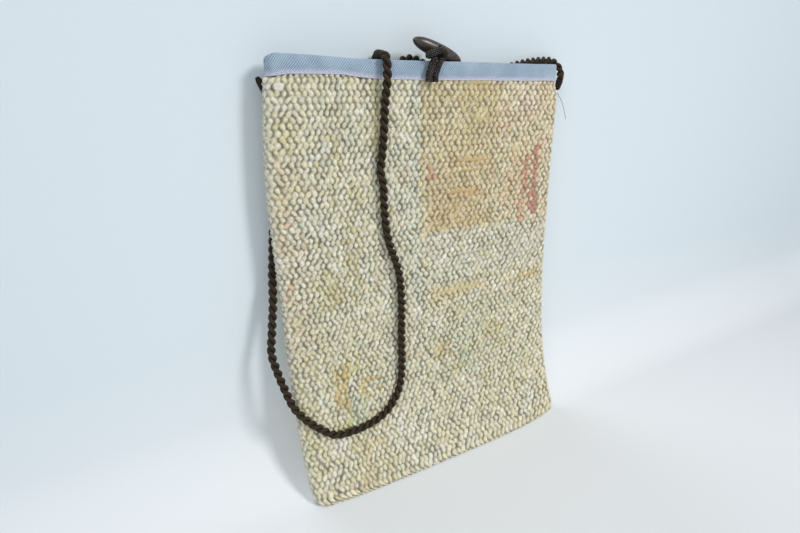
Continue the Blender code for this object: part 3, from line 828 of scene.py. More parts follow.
def within(x, s, box):
    """Places inside a box of the cloth, which is given in millimetres."""
    x0, x1, s0, s1 = (edge / 1000 for edge in box)
    return (x > x0) & (x < x1) & (s > s0) & (s < s1)


def dye(colour, tone, depth):
    """Turn colours towards a tone, in place."""
    colour += (linear(*tone) - colour) * depth[..., None]


def grain_field(q, pitch, s, x, seed, patches, floats):
    """Relief of the weave, 0 in its gaps to 1 on its crests, and the colour at each place, with painted shade
    in its gaps.
    """
    rng = np.random.default_rng(seed)
    rows = int(s.max() / GRAIN_ROW) + 4
    columns = int(q.max()) + 5
    shift = rng.uniform(-1.0, 1.0, (rows, columns, 2)) * np.linspace(0.09, 0.15, rows)[:, None, None]
    size = rng.uniform(0.84, 1.14, (rows, columns))
    slant = rng.normal(0.0, 0.20, (rows, columns))
    tint = rng.uniform(-1.0, 1.0, (rows, columns))
    shade = rng.uniform(-1.0, 1.0, (rows, columns))
    gap_shade_share = rng.uniform(0.54, 1.10, (rows, columns)).clip(0.0, 1.0)
    r = s / GRAIN_ROW
    u = q + 1 - sway(r) + 0.07 * np.sin(0.8 * q + 0.45 * r) + 0.05 * np.sin(0.31 * q - 0.9 * r)
    best = np.zeros_like(q)
    crown = np.zeros_like(q)
    ply = np.zeros_like(q)
    best_row = np.clip(np.floor(r).astype(int), 0, rows - 1)
    best_column = np.clip(np.floor(u).astype(int), 0, columns - 1)
    for row_step in (-1, 0, 1):
        row = np.clip(np.floor(r).astype(int) + row_step, 0, rows - 1)
        for column_step in (-1, 0, 1):
            column = np.clip(np.floor(u).astype(int) + column_step, 0, columns - 1)
            dr = r - (row + 0.5 + shift[row, column, 1])
            dq = u - (column + 0.5 + shift[row, column, 0]) + slant[row, column] * dr
            scale = size[row, column]
            along = np.maximum(np.abs(dr) + GRAIN_TILT * (1 - 2 * (row % 2)) * dq, 0.0)
            across = np.abs(dq / (GRAIN_WIDTH * scale))
            inside = 1 - across**GRAIN_POWER - (along / (GRAIN_LENGTH * scale)) ** GRAIN_POWER
            height = np.sqrt(np.maximum(inside, 0.0)) * (0.62 + 0.38 * scale)
            higher = height > best
            best = np.where(higher, height, best)
            crown = np.where(higher, inside, crown)
            ply = np.where(higher, 2.4 * dq + 0.9 * dr, ply)
            best_row = np.where(higher, row, best_row)
            best_column = np.where(higher, column, best_column)
    grain_s = (best_row + 0.5) * GRAIN_ROW
    grain_x = x + (best_column - 0.5 + sway(best_row + 0.5) - q) * pitch
    colour = np.tile(linear(*CREAM), (*q.shape, 1))
    for share, strength, tone in STRAY_YARN:
        dyed = np.where(soft_chance(rng, rows, columns, (1, 1)) < share, strength, 0.0)[best_row, best_column]
        dye(colour, tone, dyed)
    for *box, share, strength, tone in patches:
        use = within(grain_x, grain_s, box)
        chance = soft_chance(rng, rows, columns, (2, 1))[best_row, best_column]
        depth = strength * unit((share - chance) / 0.12 + 0.5) if share < 1 else strength
        dye(colour, tone, use * depth)
    strand = np.sin(2 * math.pi * ply)
    best = best * (1 + 0.05 * strand)
    colour *= (1 + 0.10 * tint[best_row, best_column] + 0.05 * strand)[..., None]
    colour[..., 2] *= 1 + 0.05 * shade[best_row, best_column]
    best = best * (1 + 0.05 * rng.normal(size=q.shape).clip(-2.0, 2.0))
    for *box, share, strength, tone in FLECKS:
        fleck = within(x, s, box) & (rng.random(q.shape) < share)
        dye(colour, tone, fleck * strength)
    for fx, fs, half_x, half_s, tone in floats:
        dx = (x - fx / 1000) / (half_x / 1000)
        ds = (s - fs / 1000 - 0.0003 * np.sin(x / 0.004)) / (half_s / 1000)
        inside = 1 - dx**4 - ds**4
        height = np.sqrt(np.maximum(inside, 0.0)) * (1.04 + 0.07 * np.sin(x / 0.0016 + fs))
        higher = height > best
        best = np.where(higher, height, best)
        crown = np.where(higher, np.maximum(crown, 0.8 * inside), crown)
        strands = 1 + 0.08 * np.sin(s / 0.0005) + 0.06 * np.sin(x / 0.0019)
        colour[higher] = (linear(*tone)[None, :] * strands[..., None])[higher]
    # Painted shade in the gaps: darker as a grain's crown falls away, by a random share per grain, tinted
    # teal or tan
    depth = unit(1 - GAP_REACH * crown) ** GAP_FADE * gap_shade_share[best_row, best_column]
    teal = np.exp(-(((grain_x - TEAL_LINE_X) / TEAL_LINE_HALF) ** 2))
    teal = teal + TEAL_FIELD * (grain_x < TEAL_FIELD_X)
    gap_shade = linear(*GAP_SHADE)
    under = gap_shade + (linear(*TEAL_SHADE) - gap_shade) * unit(teal)[..., None]
    warm = unit((colour[..., 0] / np.maximum(colour[..., 2], 1e-3) - 1.5) / 1.2)[..., None]
    under = under + (linear(*TAN_SHADE) - under) * warm
    colour = colour * (1 - depth[..., None]) + under * depth[..., None]
    return best, unit(colour)


def drop_to_floor(n):
    """Distance down the cloth at which depth n meets the floor."""
    return CLOTH_DROP + n * math.tan(MIDDLE_LEAN + FOOT_LEAN)


def foot_profile(front):
    """Down the cloth, round its foot and under it to the seam: length, place down, share of its depth."""
    outer = 2 * WEAVE_THICKNESS + SEAM_SPACE if front else 0.0
    way = 1 if front else -1
    low = drop_to_floor(outer) - 0.0004
    line = [(CLOTH_TOP, outer)]
    for turn in np.linspace(0.0, math.pi / 2, 8):
        down = low - FOOT_ROUND * (1 - math.sin(turn))
        line.append((down, outer - way * FOOT_ROUND * (1 - math.cos(turn))))
    for n in np.linspace(outer - way * FOOT_ROUND, SEAM_MIDDLE, 4)[1:]:
        line.append((drop_to_floor(n) - 0.0002, n))
    line = np.array(line)
    length = CLOTH_TOP + distances(line)
    return length, line[:, 0], (line[:, 1] - SEAM_MIDDLE) / (outer - SEAM_MIDDLE)


def cloth_ground(w, v, front):
    """The cloth's outer face: w across and v down it, both measured round its rounded edges."""
    length, down, deep = foot_profile(front)
    s = np.interp(v, length, down)
    flat = rounded_side(s) - EDGE_ROUND
    turn_w = np.clip((np.abs(w) - flat) / EDGE_ROUND, 0.0, math.pi / 2)
    x = np.sign(w) * np.where(np.abs(w) > flat, flat + EDGE_ROUND * np.sin(turn_w), np.abs(w))
    lift = np.interp(v, length, deep) * np.cos(turn_w)
    outer = front_outer(x, s) if front else np.zeros_like(x)
    n = SEAM_MIDDLE + (outer - SEAM_MIDDLE) * lift
    bulge = EDGE_BULGE * np.exp(-(((s - BULGE_DROP) / BULGE_REACH) ** 2))
    u = x / side(s)
    bow = FOOT_BOW * (1 - np.where(u > 0, 1.0, 0.45) * np.abs(u) ** 4)
    bow = bow * np.clip(s / CLOTH_DROP, 0.0, 1.02) ** 9
    bow = bow * np.interp(v, length, deep) * (1.0 if front else 1 - np.cos(turn_w))
    n = n + bow
    s = s + bow * math.tan(MIDDLE_LEAN + FOOT_LEAN)
    below = unit((s - 0.010) / 0.030)
    for pull, start, span, way, power in EDGE_PULLS:
        x = x + pull * unit((s - start) / span) * unit(way * u) ** power
    x = x - below * (EDGE_REACH * unit(-u) ** 5 + bulge * unit(-u) ** 6)
    return x, s, n


def make_cloth(name, front, seed, patches, floats, per_grain, node):
    """A woven panel as one sheet: its grains are shaped on it, and it rolls in to the seams."""
    half = TOP_WIDTH / 2 + EDGE_ROUND * (math.pi / 2 - 1)
    length, down_s, _ = foot_profile(front)
    drop = length[-1]
    columns = int(2 * half / GRAIN_PITCH * per_grain[0])
    rows = int(drop / GRAIN_ROW * per_grain[1])
    v = np.linspace(CLOTH_TOP, drop, rows + 1)[:, None]
    share = np.linspace(-1.0, 1.0, columns + 1)[None, :]
    v, share = np.broadcast_arrays(v, share)
    s_here = np.interp(v, length, down_s)
    w = share * (rounded_side(s_here) + EDGE_ROUND * (math.pi / 2 - 1))
    x, s, n = cloth_ground(w, v, front)
    ground = place(x, s, n)
    across = np.gradient(ground, axis=1)
    down = np.gradient(ground, axis=0)
    normal = np.cross(down, across) if front else np.cross(across, down)
    normal /= np.maximum(np.linalg.norm(normal, axis=-1), 1e-12)[..., None]
    q, pitch = grain_count(share * half)
    height, colour = grain_field(q, pitch, v, x, seed, patches, floats)
    edge = unit((np.abs(share) * half - (half - 0.006)) / 0.004)[..., None]
    colour = colour * (1 - 0.35 * edge) + linear(*EDGE_PALE) * 0.35 * edge
    # Painted shade: the rows that turn under at the foot are darkened, a shadow line along the floor
    under = unit((v - (np.interp(CLOTH_END, down_s, length) - 0.0005)) / 0.0015)[..., None]
    colour = colour * (1 - 0.45 * under)
    rim = unit((half - np.abs(share) * half) / 0.0012)
    sink = (height - GRAIN_LEVEL) * GRAIN_RELIEF * rim
    points = ground + normal * sink[..., None]
    points[..., 2] = np.maximum(points[..., 2], FLOOR_Z + 0.0001)
    cloth = add_mesh(
        name,
        points,
        grid_faces(rows + 1, columns + 1, flip=front),
        WEAVE,
        {"colour": colour.reshape(-1, 3)},
    )
    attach(cloth, "pouch")
    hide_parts(node)
    return cloth


# Shoulder cord


def left_end_places():
    """The left end's tip, tucked under the rear binding, and its mouth, further in behind the pouch."""
    top = BINDING_HEIGHT - 0.0010
    tip = place(-(TOP_WIDTH / 2 + LEFT_TIP_REACH), top, -(CORD_TIP_DIAMETER / 2 + LIP_HEIGHT))
    mouth = place(-(TOP_WIDTH / 2 - LEFT_MOUTH_INSET), top + CORD_END_LENGTH + 0.003, -CORD_SEAT)
    return tip, mouth


def right_end_places():
    edge = TOP_WIDTH / 2
    mouth = place(edge + CORD_SEAT + GAP, RIGHT_END_DROP, SEAM_MIDDLE)
    tip_x = edge + CORD_TIP_DIAMETER / 2 + 2 * GAP
    return place(tip_x, RIGHT_END_DROP + CORD_END_LENGTH, SEAM_MIDDLE), mouth


def turn_over_lips():
    front = front_lip(TURN_X) + STITCH_HEIGHT
    rear = -LIP_HEIGHT - STITCH_HEIGHT
    points = []
    for out, up in TURN_FRONT:
        points.append(place(TURN_X, -(LIP_HEIGHT + up * CORD_SEAT), front + out * CORD_SEAT))
    crest = LIP_HEIGHT + TURN_CREST * CORD_SEAT
    points.append(place(TURN_X + TURN_SLANT / 2, -crest, (front + rear) / 2))
    for out, up in TURN_REAR:
        points.append(place(TURN_X + TURN_SLANT, -(LIP_HEIGHT + up * CORD_SEAT), rear - out * CORD_SEAT))
    return points


def leaving(tip, mouth):
    way = (mouth - tip) / np.linalg.norm(mouth - tip)
    return [mouth + way * GAP, mouth + way * (GAP + CORD_DIAMETER / 2)]


def cord_path():
    """The cord's middle line from its left end to its right one."""
    left_tip, left_mouth = left_end_places()
    right_tip, right_mouth = right_end_places()
    route = leaving(left_tip, left_mouth)
    for inset, s in REAR_LEFT_ROUTE:
        route.append(place(inset - side(s), s, -CORD_SEAT - GAP))
    for out, s, n in SIDE_ROUTE:
        route.append(place(-side(s) - out, s, n))
    for x, s in FRONT_ROUTE:
        route.append(place(x, s, front_outer(x, s) + CORD_SEAT + GAP))
    route += turn_over_lips()
    for x, s in REAR_TOP_ROUTE:
        route.append(place(x, s, -(LIP_HEIGHT + STITCH_HEIGHT + CORD_SEAT)))
    for out, behind, up in CORNER_ROUTE:
        x = TOP_WIDTH / 2 + out * CORD_SEAT
        route.append(place(x, -up, -(LIP_HEIGHT + STITCH_HEIGHT + behind * CORD_SEAT)))
    route += leaving(right_tip, right_mouth)[::-1]
    return smooth(route, 10)


ROPE_STEP = 0.0006
ROPE_PITCH = 0.0122
STRAND_OFFSET = 0.00160
STRAND_THICK = 0.00160
STRAND_WIDE = 0.00192


def make_rope():
    """The twisted cord: two plump strands laid round each other."""
    path = even(cord_path(), ROPE_STEP)
    _, normal, other = frames_along(path)
    along = np.arange(len(path)) * line_length(path) / (len(path) - 1)
    length = along[-1]
    sides = 14
    round_strand = np.linspace(0.0, 2 * math.pi, sides, endpoint=False)[None, :, None]
    taper = (unit(np.minimum(along, length - along) / 0.004) * 0.15 + 0.85)[:, None]
    pile = Pile()
    for k in range(2):
        angle = (math.pi * k - 2 * math.pi * along / ROPE_PITCH)[:, None]
        radial = (np.cos(angle) * normal + np.sin(angle) * other) * taper
        wide = (np.cos(angle) * other - np.sin(angle) * normal) * taper
        middle = path + radial * STRAND_OFFSET
        section = np.cos(round_strand) * STRAND_THICK * radial[:, None]
        section = section + np.sin(round_strand) * STRAND_WIDE * wide[:, None]
        turn = np.tile(np.arange(sides) / sides, len(path))
        faces = tube_faces(len(path), sides)
        pile.add(middle[:, None] + section, faces, np.repeat(along, sides), turn)
    rope = pile.make("twisted_cord", ROPE)
    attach(rope, "pouch")
    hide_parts("shoulder_cord")


def make_whipped_end(name, tip, mouth, node):
    """A cord's end: strands drawn in to a point under turns of thread."""
    t = np.linspace(0.0, 1.0, 60)
    path = mouth + (tip - mouth) * t[:, None]
    radius = CORD_DIAMETER / 2 * (0.95 - 0.30 * t - 0.25 * unit(t - 0.8) / 0.2)
    pile = Pile()

    def turns(along, angle):
        return WHIPPING_RELIEF * np.sin(along / WHIPPING_PITCH * 2 * math.pi + angle)

    pile.tube(path, radius, 20, turns)
    end = pile.make(name, WHIPPING)
    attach(end, "pouch")
    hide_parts(node)
    return end


# Binding, stitches, lining and seams


def binding_wave(x, seed):
    """Slow unevenness of a sewn edge, -1 to 1."""
    return (
        0.5 * np.sin(x / 0.031 + seed)
        + 0.3 * np.sin(x / 0.0125 + 2.1 * seed)
        + 0.2 * np.sin(x / 0.0053 + 3.7 * seed)
    )


def hem_line(x, front):
    """Distance down to a binding's lower edge, which curls up at the left end."""
    rise = 0.0030 * unit((-x - 0.045) / 0.035) ** 2
    droop = 0.0018 * unit((-x - (TOP_WIDTH / 2 - 0.014)) / 0.012)
    curl = droop - rise if front else 0.0 * x
    return BINDING_HEIGHT + 0.0003 * binding_wave(x, 1.0 if front else 2.0) + curl


def make_binding(name, front, node):
    """Twill folded over a lip and round the pouch's ends: hem outside, over the edge, down inside."""
    half = (BINDING_LEFT + BINDING_RIGHT) / 2
    flat = half - BINDING_TURN
    w = np.linspace(-1.0, 1.0, 440) * (flat + BINDING_TURN * math.pi / 2)
    turn = np.clip((np.abs(w) - flat) / BINDING_TURN, 0.0, math.pi / 2)
    x = np.sign(w) * np.where(turn > 0, flat + BINDING_TURN * np.sin(turn), np.abs(w))
    x = x + (BINDING_RIGHT - BINDING_LEFT) / 2
    outward = 1 if front else -1
    outer = front_outer(x, 0.0) if front else np.zeros_like(x)
    inner = front_inner(x, 0.0) if front else np.full_like(x, WEAVE_THICKNESS)
    low = hem_line(x, front)
    ends = flat + BINDING_TURN * math.pi / 2
    near_end = unit((np.abs(w) - (ends - CREST_REACH)) / CREST_REACH)
    crest = np.where(w < 0, CREST_LEFT, CREST_RIGHT) * near_end**1.4
    crest = crest + 0.0010 + 0.0008 * (1 - (x / half) ** 2) + 0.0003 * binding_wave(x, 4.0 if front else 5.0)
    pucker = 0.00010 * np.sin(x / 0.0026 + 0.8 * np.sin(x / 0.019))
    for height, at, reach in BINDING_CREASES:
        pucker = pucker + height * np.exp(-(((x - at) / reach) ** 2))
    face = outer + outward * LIP_HEIGHT
    seam = low - STITCH_MARGIN
    section = [(face - outward * 0.0009, low - 0.0016)]
    for angle in np.linspace(0.0, math.pi, 7):
        out = face - outward * 0.00045 * (1 + math.cos(angle))
        section.append((out, low - 0.0004 + 0.0004 * math.sin(angle)))
    section += [
        (face + outward * pucker, seam + 0.0005),
        (face - outward * 0.00030, seam),
        (face + outward * (0.00005 + pucker), seam - 0.0006),
        (face + outward * (0.00012 + 1.3 * pucker), seam - 0.0022),
        (face + outward * 0.00018, seam * 0.55),
        (face + outward * 0.00010, seam * 0.25),
    ]
    edge = -LIP_HEIGHT + crest - 0.0016 * unit((-x - 0.060) / 0.045)
    for angle in np.linspace(0.15, math.pi / 2, 6):
        fold = LIP_HEIGHT * (1 - math.cos(angle))
        section.append((face - outward * fold, edge + LIP_HEIGHT * (1 - math.sin(angle))))
    inside = inner - outward * BINDING_LAP
    section.append(((section[-1][0] + inside) / 2, edge))
    for angle in np.linspace(0.0, math.pi / 2, 5):
        fold = 0.0006 * (1 - math.sin(angle))
        section.append((inside + outward * fold, edge + 0.0006 * (1 - math.cos(angle))))
    section.append((inside, edge + 0.0040))
    section.append((inside + outward * 0.0004, edge + 0.0090))
    rows, ups = [], []
    travelled = np.zeros_like(x)
    for n, s in section:
        n = SEAM_MIDDLE + (n - SEAM_MIDDLE) * np.cos(turn)
        rows.append(place(x, np.broadcast_to(s, x.shape), n))
        if len(rows) > 1:
            travelled = travelled + np.linalg.norm(rows[-1] - rows[-2], axis=1)
        ups.append(travelled)
    points = np.stack(rows)
    up = np.stack(ups)
    hem = unit((0.0052 - up) / 0.0012) * 0.75
    values = {"lay": np.broadcast_to(w, points.shape[:2]).ravel(), "turn": up.ravel(), "hem": hem.ravel()}
    binding = add_mesh(name, points, grid_faces(len(rows), len(x), flip=not front), TWILL, values)
    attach(binding, "pouch")
    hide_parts(node)


def make_stitches(name, front, node):
    """A row of stitches along a binding's lower edge."""
    outward = 1 if front else -1
    reach = TOP_WIDTH / 2 - STITCH_END
    pile = Pile()
    for i in range(STITCH_COUNT):
        x0 = -reach + 2 * reach * i / STITCH_COUNT
        x = np.linspace(x0, x0 + STITCH_LENGTH, 9)
        low = hem_line(x, front) - STITCH_MARGIN
        face = front_lip(x) if front else np.full_like(x, -LIP_HEIGHT)
        arch = np.sin(np.linspace(0.0, math.pi, 9))
        line = place(x, low, face + outward * (-0.0004 + 0.00055 * arch))
        pile.tube(line, STITCH_DIAMETER / 2 * 0.9 * (0.55 + 0.45 * arch), 8)
    stitches = pile.make(name, STITCH)
    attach(stitches, "pouch")
    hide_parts(node)


def make_lining(name, front, node):
    """Lining inside a panel, slack between the seams."""
    s = np.linspace(0.0055, CLOTH_DROP - 0.004, 90)[:, None]
    share = np.linspace(-1.0, 1.0, 121)[None, :]
    x = share * (rounded_side(s) - 0.004)
    s, x = np.broadcast_arrays(s, x)
    slack = 0.0004 * (1 - share**4) * (np.sin(x / 0.021 + s / 0.06) * np.sin(s / 0.034) + 0.2)
    if front:
        n = front_inner(x, s) - GAP - LINING_THICKNESS - np.abs(slack)
    else:
        n = WEAVE_THICKNESS + GAP + LINING_THICKNESS + np.abs(slack)
    points = place(x, s, n)
    values = {"lay": x.ravel(), "turn": s.ravel()}
    faces = grid_faces(*points.shape[:2], flip=not front)
    lining = add_mesh(name, points, faces, LINING, values)
    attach(lining, "pouch")
    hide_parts(node)


def make_side_seam(name, way, node):
    """Cream thread whipped over the two panels' edges."""
    s = np.arange(0.016, CLOTH_END - 0.016, WHIP_STEP)
    swing = np.cos(2 * math.pi * s / WHIP_PITCH)
    reach = way * (rounded_side(s) - EDGE_ROUND + EDGE_ROUND * math.pi / 2)
    edge_x, edge_s, edge_n = cloth_ground(reach, s, True)
    out = way * (0.0006 - 0.0008 * swing**2)
    pile = Pile()
    pile.tube(place(edge_x + out, edge_s, edge_n + 0.0024 * swing), 0.00034, 6)
    seam = pile.make(name, COTTON)
    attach(seam, "pouch")
    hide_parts(node)


def make_bottom_seam():
    """Cream thread whipped along the foot."""
    x = np.arange(-side(CLOTH_DROP) + 0.022, side(CLOTH_DROP) - 0.022, WHIP_STEP)
    swing = 2 * math.pi * x / WHIP_PITCH
    n = SEAM_MIDDLE + 0.0016 * np.cos(swing)
    s = drop_to_floor(SEAM_MIDDLE) - 0.0006 + 0.0004 * np.sin(swing)
    pile = Pile()
    line = place(x, s, n)
    line[:, 2] = np.maximum(line[:, 2], FLOOR_Z + 0.0005)
    pile.tube(line, 0.0003, 6)
    seam = pile.make("foot_whip_stitch", COTTON)
    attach(seam, "pouch")
    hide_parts("bottom_seam")


# Toggle and its cord


def toggle_radius(t):
    return TOGGLE_DIAMETER / 2 * np.maximum(1 - np.abs(t) ** 2.4, 0.0) ** 0.55


def mouth_faces():
    return WEAVE_THICKNESS + BINDING_LAP, float(front_inner(TOGGLE_X, 0.0)) - BINDING_LAP


def mouth_middle():
    return sum(mouth_faces()) / 2


def toggle_height():
    rear, front = mouth_faces()
    half_mouth = (front - rear) / 2
    t = np.arange(-16, 17) / 16
    reach = toggle_radius(t) / math.cos(TOGGLE_TILT) + GAP
    rise = np.sqrt(np.maximum(reach**2 - half_mouth**2, 0.0))
    fall = t * TOGGLE_LENGTH / 2 * math.sin(TOGGLE_TILT)
    return float((LIP_HEIGHT + rise + fall).max())


def hole_place(n):
    x = TOGGLE_X - TOGGLE_HOLE_SHIFT * math.cos(TOGGLE_TILT)
    height = toggle_height() + TOGGLE_HOLE_SHIFT * math.sin(TOGGLE_TILT)
    return place(x, -height, n)


def knot_place():
    return hole_place(mouth_middle() - TOGGLE_DIAMETER / 2 - GAP - KNOT_DIAMETER * 0.45)


def entry_place():
    """Where the neck enters the toggle's hole."""
    return hole_place(mouth_middle() + TOGGLE_DIAMETER / 2 + 2 * GAP)


def make_toggle():
    """The turned toggle with its cross hole."""
    rings, sides = 97, 72
    t = np.sin(np.linspace(-math.pi / 2, math.pi / 2, rings))
    blunt = TOGGLE_DIAMETER / 2 * np.maximum(1 - np.abs(t) ** 3.4, 0.0) ** 0.5
    slim = np.where(t < 0, 0.55 * toggle_radius(t) + 0.45 * blunt, toggle_radius(t))
    radius = np.maximum(slim * TOGGLE_SLIM, 1e-5)
    angle = np.linspace(0.0, 2 * math.pi, sides, endpoint=False)
    x = np.broadcast_to((t * TOGGLE_LENGTH / 2 + TOGGLE_HOLE_SHIFT)[:, None], (rings, sides))
    y = radius[:, None] * np.cos(angle)[None, :]
    z = radius[:, None] * np.sin(angle)[None, :]
    faces = tube_faces(rings, sides, flip=True)
    lay = np.broadcast_to(np.abs(t)[:, None], (rings, sides))
    toggle = add_mesh("horn_toggle", np.stack([x, y, z], axis=-1), faces, HORN, {"lay": lay.ravel()})
    toggle.location = Vector(hole_place(mouth_middle())) + Vector((0.0, 0.0, -0.0004))
    toggle.rotation_euler = (0.0, TOGGLE_TILT + TOGGLE_DROOP, 0.0)
    bpy.context.view_layer.update()
    toggle.data.transform(toggle.matrix_world)
    toggle.matrix_world = Matrix.Identity(4)
    bore = Pile()
    ends = [hole_place(mouth_middle() - TOGGLE_DIAMETER), hole_place(mouth_middle() + TOGGLE_DIAMETER)]
    bore.tube(np.linspace(ends[0], ends[1], 5), LEG_SEAT, 40)
    cutter = bore.make("bore_form", HORN)
    boolean = toggle.modifiers.new("Bore", "BOOLEAN")
    boolean.solver = "EXACT"
    boolean.object = cutter
    bpy.context.view_layer.update()
    depsgraph = bpy.context.evaluated_depsgraph_get()
    cut = bpy.data.meshes.new_from_object(toggle.evaluated_get(depsgraph))
    toggle.modifiers.clear()
    toggle.data = cut
    bpy.data.objects.remove(cutter, do_unlink=True)
    toggle.data.shade_smooth()
    toggle.data.set_sharp_from_angle(angle=math.radians(40.0))
    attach(toggle, "toggle")
    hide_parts("toggle")


def braid(pitch, strands, height):
    """Relief of a round braid: yarns that cross over and under on two slants."""

    def relief(along, angle):
        a = strands * angle / (2 * math.pi) + along / pitch
        b = strands * angle / (2 * math.pi) - along / pitch
        odd = (np.floor(a) + np.floor(b)) % 2
        fa = a - np.floor(a) - 0.5
        fb = b - np.floor(b) - 0.5
        over = np.cos(math.pi * fb) ** 0.7 * (0.55 + 0.45 * np.cos(math.pi * fa))
        under = np.cos(math.pi * fa) ** 0.7 * (0.55 + 0.45 * np.cos(math.pi * fb))
        return height * (np.where(odd < 0.5, over, under) - 0.75)

    return relief


BRAID_STEP = 0.00022
BRAID_RELIEF = braid(BRAID_PITCH, BRAID_STRANDS, 0.0009)


def leg_depth():
    return float(front_lip(LEG_LIP_X)) + STITCH_HEIGHT + LEG_SEAT


def neck_points(way):
    x = LEG_LIP_X + way * LEG_SPACING
    corner = float(front_lip(LEG_LIP_X))
    entry = entry_place() - np.array([0.0, 0.0, NECK_SINK])
    foot = FOLD_DROP - GAP / 2
    points = [place(x, foot, leg_depth()), place(x, foot - LEG_STRAIGHT, leg_depth())]
    for out, up in NECK_SHAPE:
        points.append(place(x, -(LIP_HEIGHT + up * LEG_SEAT), corner + out * LEG_SEAT))
    bend = entry + np.array(NECK_BEND) * LEG_DIAMETER
    return points + [(points[-1] + bend) / 2, bend, entry]


def leg_points(way):
    """One leg from the lip down to the bight at its foot."""
    radius = LEG_SPACING / 2
    foot = BINDING_HEIGHT + LEG_TUCK - radius - LEG_DIAMETER / 2
    points = [place(LEG_LIP_X - 0.0012 + way * radius, FOLD_DROP + GAP / 2 + LEG_STRAIGHT, leg_depth())]
    points.append(place(LEG_FOOT_X + way * radius, foot, leg_depth()))
    tip_x = LEG_FOOT_X + way * radius * 1.04 - 0.0002
    points.append(place(tip_x, foot + radius + 0.0025, leg_depth() - 0.0003))
    return points


def make_toggle_cord():
    """The doubled braided cord: up the binding, over the lip and into the toggle."""
    right = leg_points(1)[::-1] + neck_points(0.5) + [hole_place(mouth_middle()), knot_place()]
    left = leg_points(-1)[::-1] + neck_points(-0.5)
    pile = Pile()
    for route in (right, left):
        path = even(smooth(route, 6), BRAID_STEP)
        from_hole = unit(np.linalg.norm(path - entry_place(), axis=1) / 0.005)
        pile.tube(path, BRAID_RADIUS * (NECK_TAPER + (1 - NECK_TAPER) * from_hole), 40, BRAID_RELIEF)
    cord = pile.make("toggle_braid", BRAID)
    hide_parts("toggle_cord_legs", "toggle_cord_neck")
    start = place(LEG_LIP_X, 0.0035, leg_depth())
    end = place(LEG_LIP_X, -0.0035, leg_depth())
    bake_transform(cord)


def make_hitch():
    """The cord's hitch round its own neck, and the knot behind the toggle."""
    points = []
    for across, out, up in HITCH_SHAPE:
        x = LEG_LIP_X + 0.0008 + across / 1000
        points.append(place(x, -(LIP_HEIGHT + up / 1000), leg_depth() + out / 1000))
    pile = Pile()
    pile.tube(even(smooth(points, 8), BRAID_STEP), BRAID_RADIUS, 40, BRAID_RELIEF)
    hitch = pile.make("toggle_hitch", BRAID)
    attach(hitch, "toggle_lead")
    knot = Pile()
    for tilt, reach in ((0.0, 0.0019), (1.25, 0.0019), (-1.25, 0.0018)):
        turn = np.linspace(0.0, 2 * math.pi, 73)
        ring = np.stack([reach * np.cos(turn), 0.0006 * np.sin(2 * turn), reach * np.sin(turn)], axis=1)
        spin = np.array(Matrix.Rotation(tilt, 3, "X") @ Matrix.Rotation(0.5 * tilt, 3, "Z"))
        knot.tube(even(knot_place() + ring @ spin.T, 0.0003), 0.0015, 24, braid(0.0018, 3, 0.0004))
    tied = knot.make("toggle_stopper_knot", BRAID)
    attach(tied, "toggle_lead")


# Loose threads
EDGE_FIBRES = 70
CORNER_FIBRES = 30
THREAD_DIAMETER = 0.00034


def add_fibre(pile, root, pull, bend, radius):
    """A short loose fibre, kept above the floor."""
    t = np.linspace(0.0, 1.0, 7)[:, None]
    line = root + pull * t + bend * t**2
    line[:, 2] = np.maximum(line[:, 2], FLOOR_Z + 0.0003)
    pile.tube(line, radius * (1 - 0.5 * t[:, 0]), 5)


def make_loose_threads():
    """Fluff along the left edge and at the foot's left corner."""
    rng = np.random.default_rng(11)
    pile = Pile()
    for _ in range(EDGE_FIBRES):
        s = rng.uniform(0.03, CLOTH_END - 0.004)
        if rng.uniform() < 0.4:
            s = rng.uniform(0.25, CLOTH_END - 0.004)
        root = place(-rounded_side(s) + 0.0006, s, SEAM_MIDDLE + rng.uniform(-0.002, 0.003))
        reach = rng.uniform(0.0015, 0.0042)
        way = np.array([-rng.uniform(0.3, 1.0), -rng.uniform(0.0, 0.8), rng.uniform(-0.7, 0.7)])
        way /= np.linalg.norm(way)
        add_fibre(pile, root, way * reach, rng.uniform(-1.0, 1.0, 3) * 0.4 * reach, 0.00014)
    for _ in range(CORNER_FIBRES):
        x = -0.124 + rng.uniform(-0.001, 0.012)
        s = CLOTH_END - rng.uniform(0.0, 0.006)
        root = place(x, s, 0.0079 - rng.uniform(0.0, 0.003))
        way = np.array([rng.uniform(-1.0, 0.6), -rng.uniform(0.1, 1.0), rng.uniform(-0.3, 0.5)])
        way /= np.linalg.norm(way)
        pull = way * rng.uniform(0.0015, 0.0040)
        add_fibre(pile, root, pull, rng.uniform(-1.0, 1.0, 3) * 0.0014, 0.00015)
    fluff = pile.make("edge_fluff", COTTON)
    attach(fluff, "pouch")


def make_long_thread():
    """The thread end that stands out below the binding's right end."""
    start = place(TOP_WIDTH / 2 - 0.0005, 0.0200, SEAM_MIDDLE)
    middle = place(TOP_WIDTH / 2 + 0.0085, 0.0310, SEAM_MIDDLE + 0.0010)
    end = place(TOP_WIDTH / 2 + 0.0165, 0.0455, SEAM_MIDDLE)
    path = even(smooth([start, middle, end], 12), 0.0006)
    pile = Pile()
    pile.tube(path, THREAD_DIAMETER / 2, 6)
    thread = pile.make("long_thread_end", WHIPPING)
    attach(thread, "pouch")


# Camera, light and stage
CAMERA_PLACE = (-0.2417, -0.3537, -0.0105)
CAMERA_TURNS = (31.41, 18.76, -0.15)
SENSOR_WIDTH = 36.0
PHOTO_PIXELS_WIDE = 800.0
FOCAL_PIXELS = 533.0
